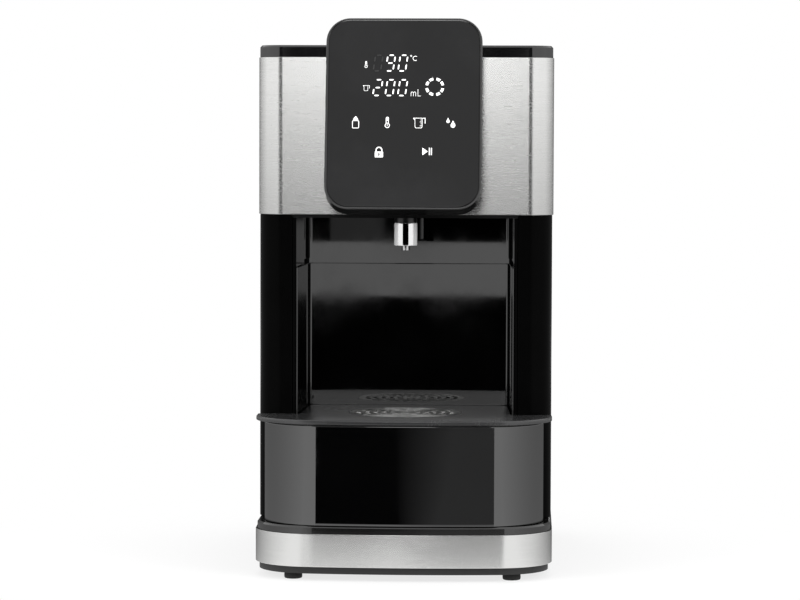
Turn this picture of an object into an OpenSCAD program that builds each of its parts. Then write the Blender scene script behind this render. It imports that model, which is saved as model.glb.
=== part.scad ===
// Countertop hot water dispenser: rear tank, tower with a cup bay, tilted touch console.
// X is the width, the front faces -Y, Z is up. Origin: centre of the footprint on the ground.

/* [Overall] */
// Width over the tower's side covers
body_w = 208; // [196:1:224]
// Depth from the front of the base to its back
total_depth = 310; // [296:1:330]
// How far base and drip tray stand ahead of the columns
front_reach = 56; // [50:1:62]
// Depth of the water tank
tank_depth = 60; // [52:1:68]

/* [Base] */
// How far the stainless band stands outside the tower's sides
base_overhang = 0.7; // [0.4:0.1:3]
// Radius of the base's front corners, seen from above
base_corner_r = 41; // [36:1:48]
// Radius of the bowed front, seen from above
bow_r = 600; // [450:10:900]
// Radius of the rear corners
rear_corner_r = 14; // [8:1:20]
// Height of the feet below the plinth
foot_h = 5; // [4:0.5:10]
// Height of the dark plinth
plinth_h = 5; // [4:0.5:8]
// How far the plinth stands back from the band
plinth_inset = 2.7; // [1.5:0.1:4]
// Height of the stainless band
band_h = 23; // [20:1:30]
// Thickness of the stainless band and of the head's sleeve
skin_t = 0.8; // [0.6:0.1:1.2]
// Height of the deck's rim above the band
rim_h = 5.5; // [4.5:0.5:8]
// How far the rim stands back from the band
rim_inset = 1.2; // [0.8:0.1:2]
// Wall thickness of the mouldings
wall = 2.5; // [2:0.1:3]
// Radius of a foot
foot_r = 6.4; // [5:0.1:9]
// Distance of a foot's axis from the band's side
foot_inset = 28.2; // [22:0.1:36]

/* [Drip tray] */
// Height of the tray block
tray_h = 69.7; // [60:0.1:80]
// How far the tray's sides stand back from the base
tray_side_inset = 6.1; // [4:0.1:9]
// Corner radius of the tray's front
tray_corner_r = 43; // [36:1:48]
// Corner radius at the back of the tray and the platform
tray_rear_r = 9; // [6:0.5:14]
// Thickness of the tray's floor
tray_floor = 4.5; // [4:0.1:6]
// Height and width of the rails that the tray runs on
rail_h = 2; // [1.5:0.1:2.5]
rail_w = 3; // [2.5:0.1:4]
// Half the distance between the rails
rail_x = 58; // [48:1:62]
// Dark groove between tray and platform
groove_h = 1; // [0.6:0.1:2]
// Thickness of the platform
platform_t = 3.1; // [2.8:0.1:4]
// Radius of the round drip grille
grille_r = 40; // [34:1:44]
// Width of the grille's slots and of the webs between them
slot_w = 3; // [2.4:0.1:3.5]
// Number of slots in each ring of the grille
slot_count = 12; // [8:1:16]

/* [Cup bay] */
// Height from platform to head
bay_h = 141.4; // [120:0.1:160]
// Width of the bay at its mouth
bay_w = 154.4; // [142:0.2:160]
// How much each side of the bay closes in towards the back
bay_draft = 3; // [2:0.5:6]
// Depth of the bay
bay_depth = 80; // [72:1:84]
// Corner radius at the back of the bay
bay_corner_r = 3.5; // [3:0.5:12]
// Thickness of the liner in the lower part of the bay
liner_t = 1.2; // [1:0.1:1.6]
// Height of the groove between the liner and the upper wall
seam_h = 3.7; // [2:0.1:6]
// Height of the upper wall above that seam
upper_wall_h = 31.5; // [24:0.5:40]

/* [Head] */
// Height of the stainless sleeve
head_h = 111; // [100:1:124]
// Corner radius of the head and the columns
head_corner_r = 17; // [12:1:22]
// Thickness of the top cover and the tank lid
lid_h = 8.2; // [7.6:0.1:10]
// Chamfer round their top edges
lid_chamfer = 1.4; // [0.8:0.1:2]
// Gap between the sleeve and the top cover
lid_seam = 0.3; // [0.2:0.1:0.8]

/* [Console] */
// Width, length and thickness of the console
console_w = 109; // [100:1:118]
console_l = 137; // [128:1:140]
console_t = 17.5; // [16:0.5:20]
// Corner radius of the console
console_r = 17; // [12:1:22]
// How far the console leans back, in degrees
console_lean = 14.4; // [12:0.2:16]
// How far the console's lower edge stands ahead of the columns
console_reach = 55.5; // [48:0.5:58]
// Height of the console's lower front edge above the bottom of the head
console_rise = 5.2; // [4.8:0.1:10]
// Width and depth of the console's grey frame
frame_w = 2; // [1.6:0.1:3]
frame_d = 3; // [2.6:0.1:4]
// Thickness of the console's glass
glass_t = 2; // [1.5:0.1:2.4]
// Width of the neck behind the console
neck_w = 90; // [80:1:94]

/* [Nozzle] */
// Radius and length of the chromed sleeve
nozzle_r = 8.2; // [7.8:0.1:10]
nozzle_l = 16.2; // [14:0.1:22]
// How far the nozzle's axis lies behind the column faces
nozzle_back = 11; // [9.5:0.5:20]
// Length of the dark collar above the sleeve
collar_h = 3.6; // [3:0.1:6]
// Radius of the steel outlet tube and how far it shows below the sleeve
tip_r = 2.9; // [2.4:0.1:3.4]
tip_l = 3.3; // [2:0.1:5]

/* [Tank] */
// Wall thickness of the tank
tank_wall = 2.5; // [2:0.1:3]
// Radius of the valve body below the tank
valve_r = 12; // [11:0.1:13]
// Travel of the valve's plunger
valve_travel = 3; // [2:0.1:3.4]
// Radius of the hinge pins of the tank lid
pin_r = 1.5; // [1.3:0.1:1.8]

/* [Water path] */
// Radius of the flow heater and its length
heater_r = 19; // [16:0.5:22]
heater_l = 120; // [100:1:130]
// Outer and inner radius of the hoses
hose_r = 5; // [4.5:0.1:5.5]
hose_bore_r = 3.1; // [2.8:0.1:3.4]

/* [Hidden] */

// Clearances: joined pieces, pieces that lift or slide, running pins, cutting overlap
fit = 0.1;
lift_gap = 0.3;
run_gap = 0.06;
cut = 1;

// Places along the depth
y_front = -total_depth / 2;
y_back = total_depth / 2;
y_face = y_front + front_reach;
y_bay = y_face + bay_depth;
y_tank = y_back - tank_depth - 1;
y_rear_wall = y_tank - 1 - wall;

// Places along the height
z_plinth = foot_h;
z_band = z_plinth + plinth_h;
z_rim = z_band + band_h;
z_deck = z_rim + rim_h;
z_tray = z_deck + lift_gap;
z_tray_top = z_tray + tray_h;
z_cover = z_tray_top + groove_h;
z_platform = z_cover + platform_t;
z_head = z_platform + bay_h;
z_top = z_head + head_h;
z_lid = z_top + lid_seam;
z_crown = z_lid + lid_h;
underside_t = 2.4;
z_ceiling = z_head - underside_t;
z_seam = z_ceiling - upper_wall_h;

body_half = body_w / 2;
bay_half = bay_w / 2;
base_w = body_w + 2 * base_overhang;
base_half = base_w / 2;
foot_x = base_half - foot_inset;

// Outline seen from above: bowed front, round corners, straight sides.
module bowed_outline(half_w, front, corner_r, bow, back, back_r) {
    bow_y = front + bow;
    corner_x = half_w - corner_r;
    corner_y = bow_y - sqrt(pow(bow - corner_r, 2) - pow(corner_x, 2));
    reach = 1.2 * bow / (bow - corner_r);
    intersection() {
        translate([0, bow_y]) circle(bow, $fn = 360);
        polygon([
            [-corner_x, corner_y],
            [-reach * corner_x, bow_y - reach * (bow_y - corner_y)],
            [reach * corner_x, bow_y - reach * (bow_y - corner_y)],
            [corner_x, corner_y]
        ]);
    }
    for (side = [-1, 1]) {
        translate([side * corner_x, corner_y]) circle(corner_r, $fn = 96);
        translate([side * (half_w - back_r), back - back_r]) circle(back_r, $fn = 64);
    }
    translate([-half_w, corner_y]) square([2 * half_w, back - back_r - corner_y]);
    translate([-(half_w - back_r), corner_y]) square([2 * (half_w - back_r), back - corner_y]);
}

// The base's outline, moved inwards by inset.
module base_outline(inset) {
    bowed_outline(base_half - inset, y_front + inset, base_corner_r - inset,
        bow_r - inset, y_back - inset, rear_corner_r - inset);
}

module base_slab(inset, z0, z1) {
    translate([0, 0, z0]) linear_extrude(z1 - z0) base_outline(inset);
}

// Outline of the tower and head: flat front with round corners, square back.
module tower_outline(inset, back) {
    half_w = body_half - inset;
    front = y_face + inset;
    r = head_corner_r - inset;
    for (side = [-1, 1])
        translate([side * (half_w - r), front + r]) circle(r, $fn = 96);
    translate([-(half_w - r), front]) square([2 * (half_w - r), back - front]);
    translate([-half_w, front + r]) square([2 * half_w, back - front - r]);
}

// Outline of the bay, mouth at the column faces, with round rear corners.
// grow moves its sides and back outwards, corner is the rear radius before that.
module bay_outline(grow, front, corner = bay_corner_r) {
    slope = bay_draft / bay_depth;
    tilt = sqrt(1 + slope * slope);
    mouth = bay_half + grow * tilt;
    r = corner + grow;
    corner_y = y_bay - corner;
    corner_x = mouth - slope * (corner_y - y_face) - r * tilt;
    side_angle = atan(slope);
    steps = 10;
    right = [
        for (i = [0:steps])
            let (a = side_angle + (90 - side_angle) * i / steps)
            [corner_x + r * cos(a), corner_y + r * sin(a)]
    ];
    left = [for (i = [0:steps]) [-right[steps - i][0], right[steps - i][1]]];
    mouth_at_front = mouth - slope * (front - y_face);
    polygon(concat([[mouth_at_front, front]], right, left, [[-mouth_at_front, front]]));
}

module rounded_rect(w, h, r) {
    for (x = [-1, 1], y = [-1, 1])
        translate([x * (w / 2 - r), y * (h / 2 - r)]) circle(r, $fn = 64);
    square([w - 2 * r, h], center = true);
    square([w, h - 2 * r], center = true);
}

// A round rod from point a to point b.
module rod(a, b, r) {
    d = b - a;
    length = norm(d);
    translate(a)
        rotate([0, acos(d[2] / length), atan2(d[1], d[0])])
            cylinder(h = length, r = r, $fn = 40);
}

// A hose through a list of points; its bends are a little fuller than its runs.
module hose(points) {
    bend = 1.03;
    last = len(points) - 1;
    difference() {
        union() {
            for (i = [0:last - 1])
                rod(points[i], points[i + 1], hose_r);
            for (i = [1:last - 1])
                translate(points[i]) sphere(hose_r * bend, $fn = 40);
        }
        for (i = [0:last - 1]) {
            direction = (points[i + 1] - points[i]) / norm(points[i + 1] - points[i]);
            rod(points[i] - (i == 0 ? cut : 0) * direction,
                points[i + 1] + (i == last - 1 ? cut : 0) * direction, hose_bore_r);
        }
        for (i = [1:last - 1])
            translate(points[i]) sphere(hose_bore_r * bend, $fn = 40);
    }
}

// A spigot that a hose slips over.
spigot_r = hose_bore_r - 0.05;
spigot_l = 9;

// Base: feet, pan, band, deck
foot_y_front = y_face - 35;
foot_y_back = y_back - 30;
foot_spigot_r = 3;
feet_at = [
    for (x = [-foot_x, foot_x], y = [foot_y_front, foot_y_back]) [x, y]
];
screw_r = 1.5;
screw_head_r = 3;
screw_head_h = 2;
boss_r = 5;
base_screw_x = body_half - 16;
base_screws_at = [
    for (x = [-base_screw_x, base_screw_x], y = [y_face + 12, y_back - 24]) [x, y]
];
screw_seat = z_plinth + 0.2 + screw_head_h;
screw_depth = 3;
pan_floor = z_plinth + wall;
band_end_y = y_front + 54;

gland_x = -66;
gland_z = (z_band + z_rim) / 2;
gland_r = 6;
gland_flange_r = 8.5;
gland_flange_t = 2;
gland_bore_r = 3.6;
gland_pocket = 4;
gland_l = gland_pocket + wall + 6;

// Tank dock and valve
y_valve = y_tank + tank_depth / 2;
z_tank_floor = z_deck + 8.5;
dock_r = valve_r + 5;
dock_h = 6;
dock_wall_r = valve_r + 1;
dock_flange_r = dock_r + 4;
dock_floor_t = 1.5;
dock_post_r = 2;
dock_duct_r = spigot_r;

vent_count = 7;
vent_w = 3;
vent_l = 46;
vent_pitch = 9;

// The pan's upper wall: set back in front for the band, flush with it behind.
module pan_wall_outline() {
    difference() {
        union() {
            base_outline(skin_t + fit);
            intersection() {
                base_outline(0);
                translate([-base_w, band_end_y]) square([2 * base_w, total_depth]);
            }
        }
        base_outline(plinth_inset + wall);
    }
}

module base_pan() color("#2e2e2f") {
    difference() {
        union() {
            base_slab(plinth_inset, z_plinth, pan_floor);
            translate([0, 0, pan_floor])
                linear_extrude(z_band - pan_floor)
                    difference() {
                        base_outline(plinth_inset);
                        base_outline(plinth_inset + wall);
                    }
            translate([0, 0, z_band]) linear_extrude(band_h) pan_wall_outline();
            for (p = base_screws_at)
                translate([p[0], p[1], z_plinth])
                    cylinder(h = z_rim - z_plinth, r = boss_r, $fn = 48);
            gland_block();
        }
        for (p = base_screws_at)
            translate([p[0], p[1], z_plinth - cut]) {
                cylinder(h = screw_seat - z_plinth + cut, r = screw_head_r + 0.3, $fn = 48);
                cylinder(h = z_deck, r = screw_r + fit, $fn = 40);
            }
        for (p = feet_at)
            translate([p[0], p[1], z_plinth - cut])
                cylinder(h = z_band, r = foot_spigot_r + fit, $fn = 40);
        for (i = [0:vent_count - 1])
            translate([(i - (vent_count - 1) / 2) * vent_pitch - vent_w / 2, y_bay, z_plinth - cut])
                cube([vent_w, vent_l, wall + 2 * cut]);
        translate([gland_x, y_back - gland_pocket, gland_z])
            rotate([-90, 0, 0]) cylinder(h = gland_pocket + cut, r = gland_flange_r + 1, $fn = 64);
        translate([gland_x, y_back - gland_pocket - gland_l, gland_z])
            rotate([-90, 0, 0]) cylinder(h = gland_l + cut, r = gland_r + fit, $fn = 64);
    }
}

// Thickened wall that carries the cord gland.
module gland_block() {
    side = gland_flange_r + 1 + wall;
    translate([gland_x - side, y_back - gland_pocket - 2 * wall, pan_floor - cut])
        cube([2 * side, 2 * wall + cut, z_rim - pan_floor + cut]);
}

module mains_gland() color("#1c1c1d") {
    translate([gland_x, y_back - gland_pocket + gland_flange_t, gland_z])
        rotate([90, 0, 0])
            rotate_extrude($fn = 64)
                polygon([
                    [gland_bore_r, 0], [gland_flange_r - 0.6, 0], [gland_flange_r, 0.6],
                    [gland_flange_r, gland_flange_t], [gland_r, gland_flange_t],
                    [gland_r, gland_l], [gland_bore_r, gland_l]
                ]);
}

module base_band() color("#c9c9c6") {
    intersection() {
        difference() {
            base_slab(0, z_band, z_rim);
            base_slab(skin_t, z_band - cut, z_rim + cut);
        }
        translate([-base_w, y_front - cut, z_band - cut])
            cube([2 * base_w, band_end_y - fit - y_front + cut, band_h + 2 * cut]);
    }
}

rail_front = y_front + 14;
rail_back = y_bay - 4;
hose_x = 45;
chassis_t = 2;
heater_gap = 14;
pump_plate_r = 26;
pump_head_r = 20;
heater_y = y_bay + wall + fit + chassis_t + heater_r + heater_gap;
pump_y = y_bay + wall + fit + chassis_t + pump_plate_r + 1;
hose_y = pump_y + pump_head_r + spigot_l + 12;
deck_hole_r = hose_r + 1.5;
rim_chamfer = 1.2;

module base_deck() color("#4b4845") {
    difference() {
        union() {
            hull() {
                base_slab(rim_inset, z_rim, z_deck - rim_chamfer);
                base_slab(rim_inset + rim_chamfer, z_rim, z_deck);
            }
            for (side = [-1, 1])
                translate([side * rail_x - rail_w / 2, rail_front, z_rim + rim_h / 2])
                    cube([rail_w, rail_back - rail_front, rim_h / 2 + rail_h]);
        }
        base_slab(3 * wall, z_rim - cut, z_deck - wall);
        for (p = base_screws_at)
            translate([p[0], p[1], z_rim - cut])
                cylinder(h = screw_depth + cut, r = screw_r + fit, $fn = 40);
        translate([hose_x, hose_y, z_rim - cut]) cylinder(h = 2 * rim_h, r = deck_hole_r, $fn = 48);
        translate([0, y_valve, z_rim - cut]) cylinder(h = 2 * rim_h, r = dock_r + fit, $fn = 64);
    }
    deck_bosses();
}

// Bosses that take the base screws.
module deck_bosses() {
    for (p = base_screws_at)
        translate([p[0], p[1], z_rim])
            difference() {
                cylinder(h = rim_h - wall + 0.5, r = boss_r, $fn = 48);
                translate([0, 0, -cut]) cylinder(h = screw_depth + cut, r = screw_r + fit, $fn = 40);
            }
}

module feet() color("#262626") {
    bulge = 0.5;
    for (p = feet_at)
        translate([p[0], p[1], 0])
            rotate_extrude($fn = 64)
                polygon([
                    [0, 0], [foot_r - 1, 0], [foot_r - 0.3, 0.4], [foot_r, foot_h / 3],
                    [foot_r, foot_h * 2 / 3], [foot_r - bulge, foot_h], [foot_spigot_r, foot_h],
                    [foot_spigot_r, foot_h + wall + 1], [0, foot_h + wall + 1]
                ]);
}

module base_screws() color("#8d8d8d") {
    for (p = base_screws_at)
        translate([p[0], p[1], 0]) {
            difference() {
                translate([0, 0, screw_seat - screw_head_h])
                    cylinder(h = screw_head_h, r = screw_head_r, $fn = 48);
                for (a = [0, 90])
                    rotate(a)
                        translate([-0.4, -2, screw_seat - screw_head_h - cut])
                            cube([0.8, 4, cut + 1]);
            }
            translate([0, 0, screw_seat])
                cylinder(h = z_rim + screw_depth - 0.5 - screw_seat, r = screw_r, $fn = 40);
        }
}

// Tower
side_top = z_head - lift_gap;

module side_cover(side) {
    mirror([side < 0 ? 1 : 0, 0, 0])
        translate([0, 0, z_deck])
            linear_extrude(side_top - z_deck)
                intersection() {
                    difference() {
                        tower_outline(0, y_rear_wall - fit);
                        tower_outline(wall, y_rear_wall + cut);
                    }
                    translate([bay_half + wall + 2 * fit, y_face - cut])
                        square([body_w, total_depth]);
                }
}

module side_cover_left() color("#141415") side_cover(-1);
module side_cover_right() color("#141415") side_cover(1);

seam_d = 0.8;

module bay_frame() color("#18181a") {
    difference() {
        translate([0, 0, z_deck])
            linear_extrude(z_ceiling - fit - z_deck)
                difference() {
                    bay_outline(wall, y_face);
                    bay_outline(0, y_face - cut);
                }
        translate([0, 0, z_seam - seam_h])
            linear_extrude(seam_h) bay_outline(seam_d, y_face - cut);
    }
}

// Thin liner inside the frame, from the deck up to the groove.
module bay_liner() color("#1b1b1d") {
    translate([0, 0, z_deck])
        linear_extrude(z_seam - seam_h - z_deck)
            difference() {
                bay_outline(-fit, y_face);
                bay_outline(-liner_t, y_face - cut);
            }
}

y_chassis = y_bay + wall + fit;
chassis_top = z_head - 6;
y_chassis_back = y_chassis + chassis_t;
chassis_flange = 16;
chassis_slots = [-60, -20, 20, 60];
chassis_slot_w = 24;
chassis_slot_h = 26;

module chassis() color("#6f7073") {
    half_w = body_half - wall - 2;
    difference() {
        union() {
            translate([-half_w, y_chassis, z_deck])
                cube([2 * half_w, chassis_t, chassis_top - z_deck]);
            for (side = [-1, 1])
                translate([side * (half_w - chassis_t / 2) - chassis_t / 2, y_chassis, z_deck])
                    cube([chassis_t, chassis_flange, chassis_top - z_deck]);
        }
        for (x = chassis_slots)
            translate([x - chassis_slot_w / 2, y_chassis - cut, z_deck + 14])
                cube([chassis_slot_w, chassis_t + 2 * cut, chassis_slot_h]);
    }
}

rib_count = 5;
rib_pitch = body_w / 6;
rib_t = 2;
rib_d = 5;

module rear_wall() color("#1d1d1f") {
    translate([-body_half, y_rear_wall, z_deck])
        cube([body_w, wall, z_top - z_deck]);
    for (i = [0:rib_count - 1])
        translate([(i - (rib_count - 1) / 2) * rib_pitch - rib_t / 2, y_rear_wall - rib_d, z_deck + 10])
            cube([rib_t, rib_d, z_top - z_deck - 40]);
}

// Head
window_w = 40;
window_h = 20;
z_window = z_head + 0.5 * head_h;
console_screw_x = 34;
console_screws_at = [
    for (x = [-console_screw_x, console_screw_x], z = [0.2, 0.81]) [x, z_head + z * head_h]
];
y_nozzle = y_face + nozzle_back;
collar_neck_r = tip_r + 3;
head_wall_inset = fit;

module head_frame() color("#232324") {
    difference() {
        union() {
            translate([0, 0, z_head])
                linear_extrude(head_h)
                    difference() {
                        tower_outline(head_wall_inset, y_rear_wall - fit);
                        tower_outline(head_wall_inset + wall, y_rear_wall + cut);
                    }
            translate([0, 0, z_head])
                linear_extrude(wall)
                    intersection() {
                        tower_outline(head_wall_inset, y_rear_wall - fit);
                        translate([-body_w, y_face - cut]) square([2 * body_w, bay_depth + cut]);
                    }
            for (p = console_screws_at)
                translate([p[0], y_face + wall - 0.5, p[1]])
                    rotate([-90, 0, 0]) cylinder(h = 4, r = boss_r, $fn = 48);
        }
        translate([-window_w / 2, y_face - cut, z_window - window_h / 2])
            cube([window_w, wall + 2 * cut, window_h]);
        translate([0, y_nozzle, z_head - cut])
            cylinder(h = wall + 2 * cut, r = collar_neck_r + fit, $fn = 48);
        for (p = console_screws_at)
            translate([p[0], y_face - cut, p[1]])
                rotate([-90, 0, 0]) cylinder(h = 12, r = screw_r + fit, $fn = 40);
    }
}

module head_sleeve() color("#cfcfcd") {
    difference() {
        translate([0, 0, z_head - fit])
            linear_extrude(head_h + fit)
                difference() {
                    tower_outline(-skin_t, y_rear_wall - fit);
                    tower_outline(0, y_rear_wall + cut);
                }
        translate([-window_w / 2, y_face - 2 * cut, z_window - window_h / 2])
            cube([window_w, 3 * cut, window_h]);
        for (p = console_screws_at)
            translate([p[0], y_face - 2 * cut, p[1]])
                rotate([-90, 0, 0]) cylinder(h = 3 * cut, r = screw_r + 4 * fit, $fn = 40);
    }
}

module head_underside() color("#151516") {
    difference() {
        translate([0, 0, z_ceiling])
            linear_extrude(underside_t - fit) bay_outline(wall, y_face + lift_gap);
        translate([0, y_nozzle, z_ceiling - cut])
            cylinder(h = underside_t + 2 * cut, r = collar_neck_r + fit, $fn = 48);
    }
}

cover_back = y_tank - 1.4;
cover_overhang = 0.1;
notch_r = 14;
notch_back = 6;
skirt_h = 5;

module top_cover_outline(inset) {
    tower_outline(inset - cover_overhang, cover_back - inset);
}

module top_cover() color("#2b2b2c") {
    difference() {
        union() {
            hull() {
                translate([0, 0, z_lid]) linear_extrude(lid_h - lid_chamfer) top_cover_outline(0);
                translate([0, 0, z_lid]) linear_extrude(lid_h) top_cover_outline(lid_chamfer);
            }
            translate([0, 0, z_top - skirt_h])
                linear_extrude(lid_seam + skirt_h + cut)
                    difference() {
                        tower_outline(head_wall_inset + wall + fit, y_rear_wall - 4 * fit);
                        tower_outline(head_wall_inset + 2 * wall, y_rear_wall - wall);
                    }
        }
        translate([0, 0, z_lid - cut])
            linear_extrude(lid_h - wall + cut)
                tower_outline(head_wall_inset + 2 * wall, y_rear_wall - wall);
        translate([0, cover_back + notch_back, z_crown])
            sphere(notch_r, $fn = 64);
    }
}

// Console
y_console = y_face - console_reach;
z_console = z_head + console_rise;

module on_console() {
    translate([0, y_console, z_console])
        rotate([-console_lean, 0, 0])
            children();
}

// A rounded plate of the console between two depths behind its front face.
module console_plate(inset, d0, d1) {
    translate([0, d1, console_l / 2])
        rotate([90, 0, 0])
            linear_extrude(d1 - d0)
                rounded_rect(console_w - 2 * inset, console_l - 2 * inset, console_r - inset);
}

module console_frame() color("#6b6b6c") on_console() {
    difference() {
        console_plate(0, 0, frame_d);
        console_plate(frame_w, -cut, frame_d + cut);
    }
}

glass_sink = 0.4;

module console_glass() color("#2f2f30") on_console() {
    console_plate(frame_w + fit, glass_sink, glass_sink + glass_t);
}

board_t = 1.6;
board_d = 6;
board_inset = 5;
lead_r = 2.2;
lead_h = (z_window - z_console) / cos(console_lean);
board_post_r = 3;
board_posts = [
    for (x = [-1, 1], z = [-1, 1])
        [x * (console_w / 2 - 16), console_l / 2 + z * (console_l / 2 - 16)]
];

// A point of the console's own frame, as depth behind the face and height along it.
function console_y(d, h) = y_console + d * cos(console_lean) + h * sin(console_lean);
function console_z(d, h) = z_console - d * sin(console_lean) + h * cos(console_lean);

neck_low = 8;
neck_top_z = z_top - 6;
neck_high = (neck_top_z - z_console + console_t * sin(console_lean)) / cos(console_lean);
y_sleeve = y_face - skin_t;

module console_neck() {
    side = [
        [console_y(console_t - 1, neck_low), console_z(console_t - 1, neck_low)],
        [console_y(console_t - 1, neck_high), neck_top_z],
        [y_sleeve, neck_top_z],
        [y_sleeve, console_z(console_t, neck_low)]
    ];
    mid_z = (neck_top_z + console_z(console_t, neck_low)) / 2;
    neck_l = neck_top_z - console_z(console_t, neck_low);
    intersection() {
        translate([-neck_w / 2, 0, 0])
            rotate([90, 0, 90])
                linear_extrude(neck_w) polygon(side);
        translate([0, y_sleeve + cut, mid_z])
            rotate([90, 0, 0])
                linear_extrude(console_reach + 2 * cut) rounded_rect(neck_w, neck_l + 2, 10);
    }
}

module console_housing() color("#1a1a1b") {
    difference() {
        union() {
            on_console() {
                difference() {
                    console_plate(fit, frame_d, console_t);
                    console_plate(wall + fit, frame_d - cut, console_t - wall);
                }
                for (p = board_posts)
                    translate([p[0], board_d + board_t, p[1]])
                        rotate([-90, 0, 0])
                            cylinder(h = console_t - wall - board_d - board_t + 0.5, r = board_post_r, $fn = 32);
            }
            console_neck();
        }
        lead_tunnel();
        for (p = console_screws_at)
            translate([p[0], y_sleeve - 9, p[1]])
                rotate([-90, 0, 0]) cylinder(h = 9 + cut, r = screw_r + fit, $fn = 40);
    }
}

// Way through the neck for the display lead.
module lead_tunnel() {
    translate([0, console_y(console_t - wall - 2, lead_h), z_window])
        rotate([-90, 0, 0])
            cylinder(h = console_reach + 2 * cut, r = lead_r + 3, $fn = 48);
}

module console_screws() color("#8d8d8d") {
    for (p = console_screws_at)
        translate([p[0], 0, p[1]]) {
            translate([0, y_face + wall + 3.5, 0])
                rotate([-90, 0, 0]) cylinder(h = screw_head_h, r = screw_head_r, $fn = 48);
            translate([0, y_sleeve - 8, 0])
                rotate([-90, 0, 0])
                    cylinder(h = 8 + skin_t + wall + 3.5, r = screw_r, $fn = 40);
        }
}

module display_board() color("#1f4a2c") on_console() {
    translate([0, board_d + board_t, console_l / 2])
        rotate([90, 0, 0])
            linear_extrude(board_t)
                rounded_rect(console_w - 2 * board_inset, console_l - 2 * board_inset,
                    console_r - board_inset);
}

glass_back = glass_sink + glass_t;
block_w = 78;
block_l = 38;
block_low = 0.56 * console_l;

module display_block() color("#e6e6e2") on_console() {
    translate([-block_w / 2, glass_back + fit, block_low])
        cube([block_w, board_d - glass_back - 2 * fit, block_l]);
}

// Six touch pads in two rows: four over two
pad_row_1 = 0.455 * console_l;
pad_row_2 = 0.3 * console_l;
pad_pitch = 0.2 * console_w;
pad_r = 4;
pad_bore_r = 2.6;
pads_at = concat(
    [for (i = [-1.5:1:1.5]) [i * pad_pitch, pad_row_1]],
    [for (i = [-0.75, 0.75]) [i * pad_pitch, pad_row_2]]
);

module touch_pads() color("#b87333") on_console() {
    for (p = pads_at)
        translate([p[0], glass_back + fit, p[1]])
            rotate([-90, 0, 0])
                difference() {
                    cylinder(h = board_d - glass_back - 2 * fit, r = pad_r, $fn = 40);
                    translate([0, 0, -cut])
                        cylinder(h = board_d - glass_back + 2 * cut, r = pad_bore_r, $fn = 40);
                }
}

// Nozzle
z_collar = z_ceiling - collar_h;
z_sleeve_low = z_collar - nozzle_l;
z_tip = z_sleeve_low - tip_l;
z_chamber = z_head + wall + 5;
chamber_r = 13;
chamber_h = 24;
y_chamber = y_face + fit + wall + 0.5 + chamber_r;

module nozzle_collar() color("#3a3a3b") {
    translate([0, y_nozzle, 0])
        difference() {
            union() {
                translate([0, 0, z_collar])
                    cylinder(h = collar_h, r = nozzle_r - 0.2, $fn = 64);
                translate([0, 0, z_ceiling])
                    cylinder(h = z_chamber - z_ceiling, r = collar_neck_r, $fn = 64);
            }
            translate([0, 0, z_collar - cut])
                cylinder(h = z_chamber - z_collar + 2 * cut, r = tip_r + fit, $fn = 48);
        }
}

module nozzle_sleeve() color("#dcdcdc") {
    translate([0, y_nozzle, z_sleeve_low])
        rotate_extrude($fn = 96)
            polygon([
                [tip_r + fit, 2], [nozzle_r - 2, 2], [nozzle_r - 1.2, 0], [nozzle_r - 0.5, 0],
                [nozzle_r, 0.5], [nozzle_r, nozzle_l - 0.4], [nozzle_r - 0.4, nozzle_l],
                [tip_r + fit, nozzle_l]
            ]);
}

module nozzle_tube() color("#b9b9b9") {
    translate([0, y_nozzle, z_tip])
        difference() {
            cylinder(h = z_chamber + 4 - z_tip, r = tip_r, $fn = 48);
            translate([0, 0, -cut])
                cylinder(h = z_chamber + 4 - z_tip + 2 * cut, r = tip_r - 0.7, $fn = 48);
        }
}

z_outlet = z_chamber + chamber_h / 2;

module outlet_chamber() color("#d9d4c6") {
    translate([0, y_chamber, z_chamber])
        difference() {
            union() {
                cylinder(h = chamber_h, r = chamber_r, $fn = 64);
                translate([0, 0, chamber_h / 2])
                    rotate([-90, 0, 0]) cylinder(h = chamber_r + spigot_l, r = spigot_r, $fn = 40);
            }
            translate([0, 0, wall]) cylinder(h = chamber_h - 2 * wall, r = chamber_r - wall, $fn = 64);
            translate([0, y_nozzle - y_chamber, -cut])
                cylinder(h = wall + 2 * cut, r = tip_r + fit, $fn = 48);
            translate([0, chamber_r / 2, chamber_h / 2])
                rotate([-90, 0, 0]) cylinder(h = chamber_r + spigot_l, r = spigot_r - 1, $fn = 40);
            translate([0, 0, chamber_h - wall - cut])
                cylinder(h = wall + 2 * cut, r = 2.5 + fit, $fn = 40);
        }
}

module outlet_sensor() color("#a8a8a8") {
    translate([0, y_chamber, z_chamber + chamber_h]) {
        cylinder(h = 8, r = 4, $fn = 6);
        translate([0, 0, -8]) cylinder(h = 8, r = 2.5, $fn = 40);
    }
}

// Heater, held on the chassis by two clamps
heater_x = -50;
cap_h = 12;
z_heater = z_deck + 62;
z_heater_top = z_heater + heater_l;
clamp_h = 12;
clamp_t = 2.5;
clamps_at = [z_heater + 0.2 * heater_l, z_heater + 0.8 * heater_l - clamp_h];

module heater_tube() color("#c4c4c2") {
    translate([heater_x, heater_y, z_heater])
        difference() {
            cylinder(h = heater_l, r = heater_r, $fn = 96);
            translate([0, 0, -cut]) cylinder(h = heater_l + 2 * cut, r = heater_r - 3, $fn = 96);
        }
}

module heater_cap() {
    difference() {
        union() {
            cylinder(h = cap_h, r = heater_r + 1.5, $fn = 96);
            cylinder(h = cap_h + spigot_l, r = spigot_r, $fn = 40);
        }
        translate([0, 0, -cut]) cylinder(h = cap_h - wall + cut, r = heater_r - 3, $fn = 96);
        cylinder(h = cap_h + spigot_l + cut, r = spigot_r - 1, $fn = 40);
    }
}

module heater_caps() color("#ece8dc") {
    translate([heater_x, heater_y, z_heater_top]) heater_cap();
    translate([heater_x, heater_y, z_heater]) mirror([0, 0, 1]) heater_cap();
}

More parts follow.
